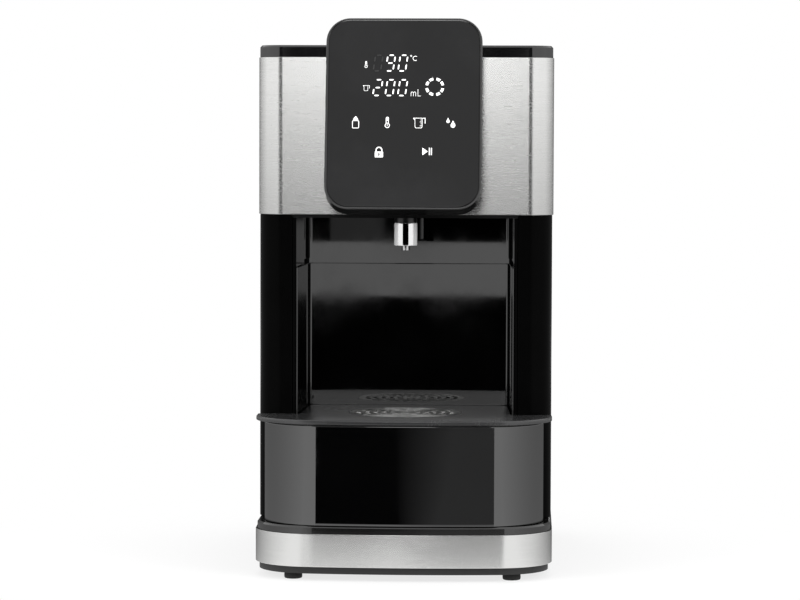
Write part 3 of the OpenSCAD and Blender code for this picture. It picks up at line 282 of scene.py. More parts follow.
def make_piece(name, shape, material, body="housing", replaces=()):
    """Puts vertices and faces into a mesh, welds doubles, shades it and hangs it on its body."""
    verts, faces = shape
    mesh = bpy.data.meshes.new(name)
    mesh.from_pydata(np.asarray(verts).tolist(), [], faces)
    work = bmesh.new()
    work.from_mesh(mesh)
    bmesh.ops.remove_doubles(work, verts=work.verts, dist=1e-6)
    work.to_mesh(mesh)
    work.free()
    mesh.shade_smooth()
    mesh.set_sharp_from_angle(angle=SHARP)
    mesh.materials.append(material)
    piece = bpy.data.objects.new(name, mesh)
    bpy.context.scene.collection.objects.link(piece)
    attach(piece, body)
    if replaces:
        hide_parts(*replaces)
    return piece


def dress(finish, name, rgb, roughness, nodes, **more):
    """Makes a material and gives it to the CAD nodes that are named in a string."""
    material = finish(name, rgb, roughness, **more)
    for node in nodes.split():
        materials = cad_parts[node].data.materials
        materials.clear()
        materials.append(material)


def feed(tree, value, socket):
    """Links a socket to an input, or sets a fixed value on it."""
    if isinstance(value, bpy.types.NodeSocket):
        tree.links.new(value, socket)
    else:
        socket.default_value = value


def add_node(tree, kind, values=(), **settings):
    """Shader node with its settings, then the values of its inputs by label or index."""
    node = tree.nodes.new(f"ShaderNode{kind}")
    for setting, value in settings.items():
        setattr(node, setting, value)
    for key, value in dict(values).items():
        feed(tree, value, node.inputs[key])
    return node


def noise(tree, vector, scale, detail=3.0, roughness=0.55):
    """Noise texture fed by a vector socket; scale is a number or a socket."""
    return add_node(tree, "TexNoise", {"Vector": vector, "Scale": scale, "Detail": detail,
                                       "Roughness": roughness}).outputs[0]


def stretched(tree, vector, scale):
    """The vector multiplied by a fixed scale along each axis."""
    return add_node(tree, "Mapping", {"Vector": vector, "Scale": scale}).outputs[0]


def remap(tree, value, low_in, high_in, low_out=0.0, high_out=1.0):
    """Value carried from one range to another and clamped."""
    return add_node(tree, "MapRange", {"Value": value, "From Min": low_in, "From Max": high_in,
                                       "To Min": low_out, "To Max": high_out}).outputs[0]


def calculate(tree, operation, *values):
    """Result of a math node over sockets and numbers."""
    return add_node(tree, "Math", enumerate(values), operation=operation).outputs[0]


def position(tree, place):
    """Outputs X, Y and Z of a place."""
    return add_node(tree, "SeparateXYZ", {0: place}).outputs


def shade_between(tree, first, second, factor):
    """Colour mixed from two fixed colours by a factor socket."""
    return add_node(tree, "Mix", {"A": (*first, 1), "B": (*second, 1), "Factor": factor},
                    data_type="RGBA").outputs["Result"]


def bump(tree, shader, height, distance, strength):
    """Bump of a height socket, in metres, into the shader's normal."""
    node = add_node(tree, "Bump", {"Height": height, "Distance": distance, "Strength": strength})
    feed(tree, node.outputs[0], shader.inputs["Normal"])


def new_group(name, outputs, **numbers):
    """Empty node group that takes a vector and named numbers: returns it, what it is given and what it gives."""
    group = bpy.data.node_groups.new(name, "ShaderNodeTree")
    add = group.interface.new_socket
    add("Vector", in_out="INPUT", socket_type="NodeSocketVector")
    for label, value in numbers.items():
        add(label, in_out="INPUT", socket_type="NodeSocketFloat").default_value = value
    for label in outputs:
        add(label, in_out="OUTPUT", socket_type="NodeSocketFloat")
    return group, group.nodes.new("NodeGroupInput").outputs, group.nodes.new("NodeGroupOutput").inputs


def moulded_grain():
    """Moulded plastic: fine erosion texture as a height, and slow clouds as a tone."""
    group, given, gives = new_group("moulded_grain", ("Height", "Tone"), Scale=2600.0)
    feed(group, noise(group, given["Vector"], given["Scale"], 4.0, 0.7), gives["Height"])
    feed(group, remap(group, noise(group, given["Vector"], 24.0, 3.0, 0.6), 0.3, 0.7), gives["Tone"])
    return group


def brushing():
    """Brushed sheet: streaks drawn out along the sheet and thin across it, in three lengths."""
    group, given, gives = new_group("brushing", ("Height", "Tone"))
    long_marks, short_marks, waves = (
        noise(group, stretched(group, given["Vector"], scale), 1.0, detail, rough)
        for scale, detail, rough in (((9, 9, 4200), 2.0, 0.6), ((70, 70, 6000), 3.0, 0.7), ((60, 60, 900), 4.0, 0.7)))
    feed(group, calculate(group, "ADD", long_marks, short_marks), gives["Height"])
    feed(group, remap(group, waves, 0.3, 0.7), gives["Tone"])
    return group


def smudges():
    """Handling marks: soft patches with finer specks inside, for roughness."""
    group, given, gives = new_group("smudges", ("Mask",))
    patches = remap(group, noise(group, given["Vector"], 16.0, 4.0, 0.62), 0.46, 0.7)
    specks = remap(group, noise(group, given["Vector"], 900.0, 3.0, 0.7), 0.35, 0.7, 0.5, 1.0)
    feed(group, calculate(group, "MULTIPLY", patches, specks), gives["Mask"])
    return group


def use_group(tree, build, vector, **numbers):
    """Outputs of a shared group, which is built once and has its builder's name."""
    group = bpy.data.node_groups.get(build.__name__) or build()
    return add_node(tree, "Group", {"Vector": vector, **numbers}, node_tree=group).outputs


def base_material(name, rgb, roughness, values=()):
    """Material with a Principled shader: returns material, tree, shader and the Object coordinates."""
    existing = bpy.data.materials.get(name)
    if existing:
        bpy.data.materials.remove(existing)
    made = bpy.data.materials.new(name)
    made.use_nodes = True
    tree = made.node_tree
    shader = tree.nodes["Principled BSDF"]
    for label, value in (("Base Color", (*rgb, 1)), ("Roughness", roughness), *dict(values).items()):
        shader.inputs[label].default_value = value
    return made, tree, shader, tree.nodes.new("ShaderNodeTexCoord").outputs["Object"]


def smudge(tree, shader, place, roughness, rise):
    """Roughness that rises where the surface was handled; returns the marks."""
    marks = use_group(tree, smudges, place)["Mask"]
    feed(tree, remap(tree, marks, 0, 1, roughness, roughness + rise), shader.inputs["Roughness"])
    return marks


def scaled(rgb, factor):
    """A colour multiplied by a factor."""
    return tuple(min(1.0, channel * factor) for channel in rgb)


def plastic(name, rgb, roughness, grain=2600.0, depth=0.02, variation=0.16, specular=0.5):
    """Moulded plastic: fine grain, slightly cloudy colour, smudged roughness."""
    made, tree, shader, place = base_material(name, rgb, roughness, {"Specular IOR Level": specular})
    texture = use_group(tree, moulded_grain, place, Scale=grain)
    feed(tree, shade_between(tree, scaled(rgb, 1 - variation), scaled(rgb, 1 + variation), texture["Tone"]),
         shader.inputs["Base Color"])
    smudge(tree, shader, place, roughness, 0.12)
    bump(tree, shader, texture["Height"], depth * MM, 0.5)
    return made


def gloss(name, rgb, roughness, specular, index=1.5, front=None):
    """High-gloss plastic: mirror-like, with faint smudges and a trace of mould waviness.

    With front, the specular level holds ahead of that y and rises to half behind it.
    """
    made, tree, shader, place = base_material(name, rgb, roughness, {"IOR": index, "Specular IOR Level": specular})
    if front is not None:
        feed(tree, remap(tree, position(tree, place)["Y"], front, front + 30 * MM, specular, 0.5),
             shader.inputs["Specular IOR Level"])
    marks = smudge(tree, shader, place, roughness, 0.06)
    feed(tree, shade_between(tree, rgb, scaled(rgb, 1.5), marks), shader.inputs["Base Color"])
    bump(tree, shader, noise(tree, place, 30.0, 1.0, 0.4), 0.02 * MM, 0.15)
    return made


def brushed_steel(name, rgb, roughness, shade_fall=None, streaks=0.003, tone=0.045):
    """Stainless sheet brushed along its length: streaks in height (in mm), tone and roughness.

    With a fall (foot, crown, depth) the sheet's colour is darkened by painted shade: it falls off to depth from the
    height crown to foot.
    """
    made, tree, shader, place = base_material(
        name, rgb, roughness, {"Metallic": 1.0, "Anisotropic": 0.85, "Anisotropic Rotation": 0.25})
    texture = use_group(tree, brushing, place)
    colour = shade_between(tree, scaled(rgb, 1 - tone), scaled(rgb, 1 + tone), texture["Tone"])
    if shade_fall:
        foot, crown, depth = shade_fall
        # painted shade: the colour darkens towards the foot of the sheet
        painted_shade = remap(tree, position(tree, place)["Z"], foot, crown, depth, 1.0)
        colour = add_node(tree, "Mix", {"Factor": 1.0, "A": colour, "B": painted_shade},
                          data_type="RGBA", blend_type="MULTIPLY").outputs["Result"]
    feed(tree, colour, shader.inputs["Base Color"])
    feed(tree, remap(tree, texture["Tone"], 0, 1, roughness - 0.03, roughness + 0.04), shader.inputs["Roughness"])
    bump(tree, shader, texture["Height"], streaks * MM, 0.5)
    tangent = add_node(tree, "Tangent", direction_type="RADIAL", axis="Z")
    feed(tree, tangent.outputs[0], shader.inputs["Tangent"])
    return made


def polished(name, rgb, roughness, edge=None):
    """Chromed or polished metal with faint smudges; edge is the metallic share where the surface turns away."""
    made, tree, shader, place = base_material(name, rgb, roughness, {"Metallic": 1.0})
    if edge is not None:
        turned = add_node(tree, "LayerWeight", {"Blend": 0.5}).outputs["Facing"]
        feed(tree, remap(tree, turned, 0.16, 0.3, 1.0, edge), shader.inputs["Metallic"])
    smudge(tree, shader, place, roughness, 0.08)
    return made


def clear_plastic(name, rgb, roughness):
    """Clear tinted plastic: transmits light, with a plain tint and smudges."""
    made, tree, shader, place = base_material(name, rgb, roughness, {"Transmission Weight": 1.0, "IOR": 1.49})
    smudge(tree, shader, place, roughness, 0.1)
    return made


def symbol_paint(name, rgb, glow):
    """Lit white symbols: the colour glows a little, unevenly as over a lamp."""
    made, tree, shader, place = base_material(name, rgb, 0.4, {"Emission Strength": glow})
    patches = remap(tree, noise(tree, place, 700.0, 2.0, 0.5), 0.3, 0.7)
    feed(tree, shade_between(tree, scaled(rgb, 0.93), rgb, patches), shader.inputs["Emission Color"])
    return made


class DISPENSER_OT_base(bpy.types.Operator):
    """Base: plinth, stainless band, deck with its rim, and rubber feet"""
    bl_idname = "dispenser.base"
    bl_label = "Base"

    def execute(self, context):
        s, c = sizes(), colours()
        dress(plastic, "plinth_plastic", c.plinth_grey, 0.5, "base_pan mains_gland")
        dress(polished, "screw_steel", (0.5, 0.5, 0.5), 0.3, "base_screws")
        self.band(s, brushed_steel("brushed_band", c.steel, 0.2, streaks=0.0005, tone=0.012))
        dress(gloss, "deck_gloss", c.deck_black, 0.1, "base_deck", specular=1.0)
        self.feet(plastic("foot_rubber", (0.018, 0.018, 0.018), 0.7, 1800.0, 0.05, 0.2, 0.3))
        return {"FINISHED"}

    def band(self, s, material):
        """Sheet strip round the base's bowed front."""
        a, b = low("base_band"), high("base_band")
        half, edge = high("drip_platform").x + 0.3 * MM, 0.3 * MM
        loop = sheet_loop(bowed_arcs(half, a.y, s.base_corner, s.bow), s.skin, half, b.y)
        make_piece("stainless_band", loft(loop, slab_rows(a.z, b.z, edge, edge)), material,
                   replaces=["base_band"])

    def feet(self, material):
        """Four turned rubber feet, slightly bellied, with a hollow in the sole."""
        corner, top = high("feet"), low("base_pan").z
        r, hollow = 6.4 * MM, 0.5 * MM
        x, y0, y1 = corner.x - r, low("feet").y + r, corner.y - r
        flank = ((1.2, 0), (0.5, 0.25 * MM), (0.1, 0.9 * MM), (0, 0.45 * top), (0.15, 0.75 * top), (0.5, top))
        profile = [(0, hollow), (2.2 * MM, hollow), (2.6 * MM, 0), *((r - inset * MM, z) for inset, z in flank),
                   (0, top)]
        shapes = [lathe(profile, 64, (sx * x, y, 0)) for sx in (-1, 1) for y in (y0, y1)]
        make_piece("rubber_feet", join(*shapes), material, replaces=["feet"])


class BayWall:
    """The bay's inner wall, as in the construction: it closes in from the mouth to two rear corners."""

    def __init__(self, s):
        self.face, back = low("bay_frame").y, high("bay_frame").y - s.wall
        self.mouth = high("bay_frame").x - s.wall
        self.slope = s.bay_draft / (back - self.face)
        self.angle = math.degrees(math.atan(self.slope))
        self.corner_y = back - s.bay_corner
        self.corner_x = self.half_width(self.corner_y) - s.bay_corner * math.hypot(1, self.slope)

    def half_width(self, y):
        """Half of the bay's width at y."""
        return self.mouth - self.slope * (y - self.face)


def bay_loop(s, inner, outer, tip):
    """U-shaped loop of a bay moulding between two distances from the bay's wall; its inner side may be grooved."""
    wall, r = BayWall(s), s.bay_corner
    x, y, angle, middle = wall.corner_x, wall.corner_y, wall.angle, wall.mouth + (inner + outer) / 2
    return outline((middle, wall.face + tip, tip, 180, 360), (x, y, r + outer, angle, 90),
                   (-x, y, r + outer, 90, 180 - angle), (-middle, wall.face + tip, tip, 180, 360),
                   (-x, y, r + inner, 180 - angle, 90, 1), (x, y, r + inner, 90, angle, 1))


class DISPENSER_OT_tower(bpy.types.Operator):
    """Tower: column and side covers, cup bay with its groove and liner, ceiling and rear wall"""
    bl_idname = "dispenser.tower"
    bl_label = "Tower"

    def execute(self, context):
        s, c = sizes(), colours()
        column = gloss("column_cover", c.column_black, 0.2, 0.02, front=low("side_cover_left").y + s.head_corner)
        gloss_black = gloss("bay_gloss", c.gloss_black, 0.02, 1.0)
        self.covers(s, column)
        self.moulding(s, gloss_black, column)
        liner_gap, liner_tip = 0.1 * MM, 0.54 * MM
        rows = slab_rows(low("bay_liner").z, high("bay_liner").z, 0.2 * MM, 0.4 * MM)
        make_piece("bay_lining", loft(bay_loop(s, -s.liner, -liner_gap, liner_tip), rows), gloss_black,
                   replaces=["bay_liner"])
        dress(plastic, "ceiling_plastic", (0.002, 0.002, 0.002), 0.35, "head_underside", specular=0.2)
        dress(plastic, "rear_plastic", c.plinth_grey, 0.45, "rear_wall")
        return {"FINISHED"}

    def moulding(self, s, material, column):
        """Wall of the bay with its groove; its front tips continue the columns and have their finish."""
        a, b, seam = low("bay_frame"), high("bay_frame"), high("bay_liner").z
        e, depth, groove_top = 0.4 * MM, 0.8 * MM, seam + 3.7 * MM
        rows = [(e + HOLD, a.z), (e, a.z), (0, a.z + e), (0, seam - HOLD), (0, seam), (0, seam, depth),
                (0, groove_top, depth), (0, groove_top), (0, groove_top + HOLD), (0, b.z - e), (e, b.z),
                (e + HOLD, b.z)]
        piece = make_piece("bay_moulding", loft(bay_loop(s, 0.0, s.wall, s.wall / 2), rows), material,
                           replaces=["bay_frame"])
        piece.data.materials.append(column)
        for face in piece.data.polygons:
            face.material_index = int(face.center.y < a.y + s.wall / 2)

    def covers(self, s, material):
        """L-shaped side covers: the loop runs along the front, round the corner and back along the inside."""
        a, b = low("side_cover_right"), high("side_cover_right")
        r, e = s.head_corner, 0.6 * MM
        x, y = b.x - r, a.y + r
        loop = outline((a.x + e, a.y + e, e, 180, 270), (x, y, r, 270, 360), (b.x - e, b.y - e, e, 0, 90),
                       (b.x - s.wall + e, b.y - e, e, 90, 180), (x, y, r - s.wall, 360, 270),
                       (a.x + e, a.y + s.wall - e, e, 90, 180))
        rows = slab_rows(a.z, b.z, 0.3 * MM, 0.5 * MM)
        for side, shape in (("right", loop), ("left", loop.mirrored())):
            make_piece(f"{side}_cover", loft(shape, rows), material, replaces=[f"side_cover_{side}"])


class DISPENSER_OT_head(bpy.types.Operator):
    """Head: stainless sleeve with hemmed edges, top cover and tank lid"""
    bl_idname = "dispenser.head"
    bl_label = "Head"

    def execute(self, context):
        s, c = sizes(), colours()
        self.sleeve(s, scaled(c.steel, 1.08))
        dress(gloss, "cover_plastic", c.cover_black, 0.05, "top_cover tank_lid", specular=0.9)
        dress(plastic, "head_plastic", c.plinth_grey, 0.5, "head_frame")
        return {"FINISHED"}

    def sleeve(self, s, rgb):
        """Sheet sleeve round the head's front and sides, open at the rear."""
        a, b = low("head_sleeve"), high("head_sleeve")
        r, edge = s.head_corner + s.skin, 0.35 * MM
        x, y = b.x - r, a.y + r
        loop = sheet_loop([(-x, y, r, 180, 270), (x, y, r, 270, 360)], s.skin, b.x, b.y)
        # the sleeve's colour carries painted shade: it darkens from 15 mm below the top down to the bottom edge
        steel = brushed_steel("brushed_sleeve", rgb, 0.25, (a.z, b.z - 15 * MM, 0.68), streaks=0.0022)
        make_piece("stainless_sleeve", loft(loop, slab_rows(a.z, b.z, edge, edge)), steel,
                   replaces=["head_sleeve"])


def on_console(x, h, d):
    """World places of console points: x across, h up along the glass, d behind its front face."""
    s = sizes()
    origin = low("console_frame")
    lean = s.console_lean
    z0 = origin.z + s.console_rim * 1.5 * math.sin(lean)
    x, h, d = np.broadcast_arrays(x, h, d)
    return np.stack([x, origin.y + d * math.cos(lean) + h * math.sin(lean),
                     z0 - d * math.sin(lean) + h * math.cos(lean)], -1)


def to_console(shape):
    """Turns a shape built flat (x, along, towards the viewer) into its place on the console."""
    verts, faces = shape
    verts = np.asarray(verts)
    return on_console(verts[:, 0], verts[:, 1] + sizes().console_length / 2, -verts[:, 2]), faces


class DISPENSER_OT_console(bpy.types.Operator):
    """Touch console: grey rim, dark glass, and the finish of its back shell"""
    bl_idname = "dispenser.console"
    bl_label = "Console"

    def execute(self, context):
        s, c = sizes(), colours()
        loop = rounded_rectangle(s.console_width, s.console_length, s.console_corner)
        make_piece("console_rim", to_console(loft(loop, self.rim_rows(s.console_rim), closed=True)),
                   gloss("rim_lacquer", c.rim_grey, 0.14, 1.0), replaces=["console_frame"])
        inset, face = 1.7 * MM, -0.4 * MM
        rows = [(inset, face - 2 * MM), (inset, face - 0.35 * MM), (inset + 0.1 * MM, face - 0.1 * MM),
                (inset + 0.35 * MM, face), (inset + 0.6 * MM, face)]
        make_piece("console_pane", to_console(loft(loop, rows)),
                   gloss("panel_glass", c.glass_grey, 0.06, 0.22), replaces=["console_glass"])
        dress(gloss, "console_shell", (0.008, 0.008, 0.008), 0.2, "console_housing", specular=0.3)
        return {"FINISHED"}

    def rim_rows(self, rim):
        """Section of the rim: a rounded outer edge, a narrow face and the seat of the glass."""
        e, lip, depth = 0.85 * MM, 1.05 * MM, -3 * MM
        edge = [(e * (1 - math.cos(t)), -e * (1 - math.sin(t))) for t in np.linspace(0, math.pi / 2, 8)]
        return [(0, depth), (0, -e - HOLD), *edge, (0.95 * MM, 0), (lip, -0.1 * MM), (lip, -1 * MM),
                (rim, -1.2 * MM), (rim, depth)]


def arc_points(x, y, r, a0, a1, steps=24):
    """Points on a circle from angle a0 to a1, in degrees."""
    a = np.radians(np.linspace(a0, a1, steps))
    return np.column_stack([x + r * np.cos(a), y + r * np.sin(a)])


def box_loop(x0, y0, x1, y1, r=0.0):
    """Rectangle between two corners, with rounded corners where r is given."""
    if r <= 0:
        return np.array([[x0, y0], [x1, y0], [x1, y1], [x0, y1]])
    return np.vstack([arc_points(x1 - r, y0 + r, r, -90, 0, 7), arc_points(x1 - r, y1 - r, r, 0, 90, 7),
                      arc_points(x0 + r, y1 - r, r, 90, 180, 7), arc_points(x0 + r, y0 + r, r, 180, 270, 7)])


def drop_loop(x, y, r, rise):
    """Drop: a circle whose top runs along its tangents into a point at rise above the centre."""
    lean = math.degrees(math.acos(r / rise))
    return np.vstack([arc_points(x, y, r, 90 + lean, 450 - lean, 28), [[x, y + rise]]])


def arc_stroke(x, y, r0, r1, a0, a1):
    """Curved stroke between two radii and two angles."""
    return np.vstack([arc_points(x, y, r1, a0, a1), arc_points(x, y, r0, a1, a0)])


def digit_strokes(digit, x, y, width=5.2, height=11.3, stroke=0.92, gap=0.95, lean=8.0):
    """Seven-segment digit: six-sided strokes with small gaps at the corners, sheared by lean degrees."""
    segments = {"a": (0, 2, 1), "g": (0, 1, 1), "d": (0, 0, 1), "b": (1, 1, 0), "c": (1, 0, 0), "f": (0, 1, 0),
                "e": (0, 0, 0)}
    lit = {"0": "abcdef", "2": "abged", "8": "abcdefg", "9": "abcdfg"}[digit]
    half, w = height / 2, stroke / 2
    loops = []
    for letter in lit:
        i, j, flat = segments[letter]
        size = width if flat else half
        along = np.array([gap, gap + w, size - gap - w, size - gap, size - gap - w, gap + w])
        across = np.array([0, -w, -w, 0, w, w])
        px, py = (along, j * half + across) if flat else (i * width - across, j * half + along)
        loops.append(np.column_stack([x + w + px + np.tan(math.radians(lean)) * py, y + w + py]))
    return [[loop] for loop in loops]


def panel_symbols():
    """Touch symbols and units as regions (outer loop and holes) in millimetres from the middle and lower edge."""
    regions = []
    for quarter in range(4):
        for first, last in ((11, 39), (51, 79)):
            regions.append([arc_stroke(21.5, 87.5, 4.75, 6.6, first + 90 * quarter, last + 90 * quarter)])
    regions += [[arc_points(4.85, 109.7, 0.62, 0, 360, 25)[:-1], arc_points(4.85, 109.7, 0.34, 0, 360, 25)[:-1]],
                [arc_stroke(7.75, 107.9, 1.4, 1.76, 48, 312)]]
    regions += [[box_loop(x, 80.7, x + 0.3, 83.3)] for x in (4.9, 6.55, 8.2)]
    regions += [[arc_stroke(x, 82.95, 0.66, 0.96, 20, 160)] for x in (5.88, 7.53)]
    regions += [[np.array([[9.7, 80.7], [11.8, 80.7], [11.8, 81.0], [10.0, 81.0], [10.0, 85.7], [9.7, 85.7]])]]
    regions += thermometer(-26.5, 101.0, 0.56) + jug(-26.3, 84.4, 0.5, False)
    regions += bottle(-33.2, 57.6) + thermometer(-11.2, 57.9, 0.93) + jug(10.7, 57.8, 0.92, True)
    regions += [[drop_loop(31.0, 62.7, 1.15, 2.6)], [drop_loop(34.4, 59.8, 1.62, 3.6)]]
    regions += padlock(-16.7, 36.6)
    regions += [[np.array([[13.4, 38.5], [17.1, 41.2], [13.4, 43.9]])], [box_loop(17.9, 38.6, 18.6, 43.8)],
                [box_loop(19.3, 38.6, 20.0, 43.8)]]
    return regions


def bottle(x, y):
    """Feeding bottle: outlined body under a filled cap and teat."""
    body = [box_loop(x - 2.4, y, x + 2.4, y + 5.7, 0.8), box_loop(x - 1.95, y + 0.45, x + 1.95, y + 5.25, 0.4)]
    cap = np.vstack([[[x - 1.9, y + 6.2], [x + 1.9, y + 6.2], [x + 1.5, y + 6.9]],
                     arc_points(x, y + 8.1, 0.5, 20, 160, 9), [[x - 1.5, y + 6.9]]])
    return [body, [cap]]


def thermometer(x, y, s):
    """Outlined bulb and stem whose upper end is filled, round a thread that stands in the bulb."""
    bulb_y = y + 1.9 * s
    outer = np.vstack([arc_points(x, bulb_y, 1.9 * s, 125, 415, 30), arc_points(x, y + 7.5 * s, 1.1 * s, 0, 180, 13)])
    inner = np.vstack([arc_points(x, bulb_y, 1.4 * s, 115, 425, 26),
                       [[x + 0.62 * s, y + 5.6 * s], [x - 0.62 * s, y + 5.6 * s]]])
    return [[outer, inner], [box_loop(x - 0.2 * s, y + 1.4 * s, x + 0.2 * s, y + 4.2 * s)]]


def jug(x, y, s, marks):
    """Measuring jug: outlined body with a spout and a handle, and level marks when it is large enough."""
    wall = 0.38 if marks else 0.5
    outer = [[-4.2, 8.0], [-4.2, 7.4], [-3.1, 6.2], [-3.1, 1.0], [-2.4, 0], [2.0, 0], [2.7, 1.0], [2.7, 8.0]]
    inner = [[-3.2 + wall, 8.0 - wall], [-3.1 + wall, 1.2], [-2.2, wall], [1.8, wall],
             [2.7 - wall, 1.2], [2.7 - wall, 8.0 - wall]]
    place = np.array([x, y])
    handle = np.array([[2.9, 8.0], [5.0, 8.0], [5.0, 3.6], [4.5, 3.6], [4.5, 7.5], [2.9, 7.5]]) * s + place
    regions = [[np.array(outer) * s + place, np.array(inner)[::-1] * s + place], [handle]]
    if marks:
        regions += [[box_loop(x + 2.0 - length, y + level, x + 1.9, y + level + 0.35)]
                    for level, length in ((1.5, 1.3), (2.9, 0.8), (4.3, 1.3), (5.7, 0.8))]
    return regions


def padlock(x, y):
    """Closed padlock with a keyhole."""
    body = [box_loop(x - 2.85, y + 0.3, x + 2.85, y + 4.4, 0.5), box_loop(x - 0.5, y + 1.2, x + 0.5, y + 3.5, 0.45)]
    shackle = np.vstack([[[x + 1.6, y + 4.6], [x + 2.35, y + 4.6]], arc_points(x, y + 5.5, 2.35, 0, 180, 22),
                         [[x - 2.35, y + 4.6], [x - 1.6, y + 4.6]], arc_points(x, y + 5.5, 1.6, 180, 0, 22)])
    return [body, [shackle]]


def inlay(regions, depth, thickness):
    """Thin closed plates on the console, from regions in millimetres."""
    parts = []
    for loops in regions:
        loops = [np.asarray(loop) * MM for loop in loops]
        parts += [plate_with_holes(loops, thickness), plate_with_holes(loops, 0.0, False)]
        for k, loop in enumerate(loops):
            x, y = loop.T
            turn = np.sum(x * np.roll(y, -1) - np.roll(x, -1) * y)
            ring = loop if (turn > 0) == (k == 0) else loop[::-1]
            wall = np.vstack([np.column_stack([ring, np.full(len(ring), z)]) for z in (0.0, thickness)])
            parts.append((wall, grid_faces(2, len(ring)).tolist()))
    verts, faces = join(*parts)
    return on_console(verts[:, 0], verts[:, 1], depth - verts[:, 2]), faces


class DISPENSER_OT_symbols(bpy.types.Operator):
    """Lit digits, units and touch symbols behind the glass, and the digit that is switched off"""
    bl_idname = "dispenser.symbols"
    bl_label = "Symbols"

    def execute(self, context):
        white = colours().symbol_white
        hundreds, tens, units = -22.0, -13.4, -4.7
        upper, lower = 98.4, 80.7
        behind, lit_depth, unlit_depth = 0.4 * MM, 0.05 * MM, 0.03 * MM
        lit = digit_strokes("9", tens, upper) + digit_strokes("0", units, upper)
        for x, digit in ((hundreds, "2"), (tens, "0"), (units, "0")):
            lit += digit_strokes(digit, x, lower)
        make_piece("lit_digits", inlay(lit, behind, lit_depth), symbol_paint("lit_digit", white, 1.0))
        make_piece("touch_symbols", inlay(panel_symbols(), behind, lit_depth),
                   symbol_paint("lit_symbol", white, 0.85))
        make_piece("unlit_digit", inlay(digit_strokes("0", hundreds, upper), behind, unlit_depth),
                   plastic("unlit_segment", (0.026, 0.026, 0.026), 0.4))
        return {"FINISHED"}


class DISPENSER_OT_nozzle(bpy.types.Operator):
    """Nozzle: chromed sleeve, dark collar and the steel outlet tube"""
    bl_idname = "dispenser.nozzle"
    bl_label = "Nozzle"

    def execute(self, context):
        a, b = low("nozzle_sleeve"), high("nozzle_sleeve")
        centre = ((a.x + b.x) / 2, (a.y + b.y) / 2, 0)
        r, bore, recess = (b.x - a.x) / 2, 3.0 * MM, a.z + 2 * MM
        foot = ((2.2, 2), (1.5, 1.4), (1.2, 0.2), (0.9, 0), (0.5, 0), (0.15, 0.15), (0, 0.5), (0, 0.8))
        crown = ((0, 0.7), (0, 0.4), (0.12, 0.12), (0.4, 0))
        profile = [(bore, recess), *((r - inset * MM, a.z + up * MM) for inset, up in foot),
                   *((r - inset * MM, b.z - down * MM) for inset, down in crown), (bore, b.z)]
        make_piece("chromed_sleeve", lathe(profile, 128, centre), polished("chrome", colours().chrome, 0.04, 0.25),
                   replaces=["nozzle_sleeve"])
        dress(plastic, "collar_plastic", (0.004, 0.004, 0.004), 0.3, "nozzle_collar")
        dress(polished, "tube_steel", (0.55, 0.55, 0.55), 0.18, "nozzle_tube")
        return {"FINISHED"}


def tongue_loop(s, a, b, corner, side_gap, notches=()):
    """Loop of a bowed front part between the corners a and b and of its tongue, which reaches into the bay.

    A notch (x, half width, depth) is a pair of points on the back edge whose weight is the depth, so a row
    with groove 1 is cut in by it and a row with groove 0 runs straight past.
    """
    wall, r, tip = BayWall(s), s.tray_rear_corner, 0.6 * MM
    gap, step, back = s.liner + side_gap, wall.face - 0.5 * MM, b.y - s.tray_rear_corner
    neck, x = wall.half_width(step) - gap, wall.half_width(back) - gap - r
    cuts = [(middle + side * w, b.y, 0, 90, 90, depth * deep) for middle, w, depth in notches
            for side, deep in ((1, 0), (1, 1), (-1, 1), (-1, 0))]
    return outline(*bowed_arcs(b.x, a.y, corner, s.bow), (b.x - tip, step - tip, tip, 0, 90),
                   (neck + tip, step + tip, tip, 270, 180), (x, back, r, wall.angle, 90), *cuts,
                   (-x, back, r, 90, 180 - wall.angle), (-neck - tip, step + tip, tip, 360, 270),
                   (-b.x + tip, step - tip, tip, 90, 180))


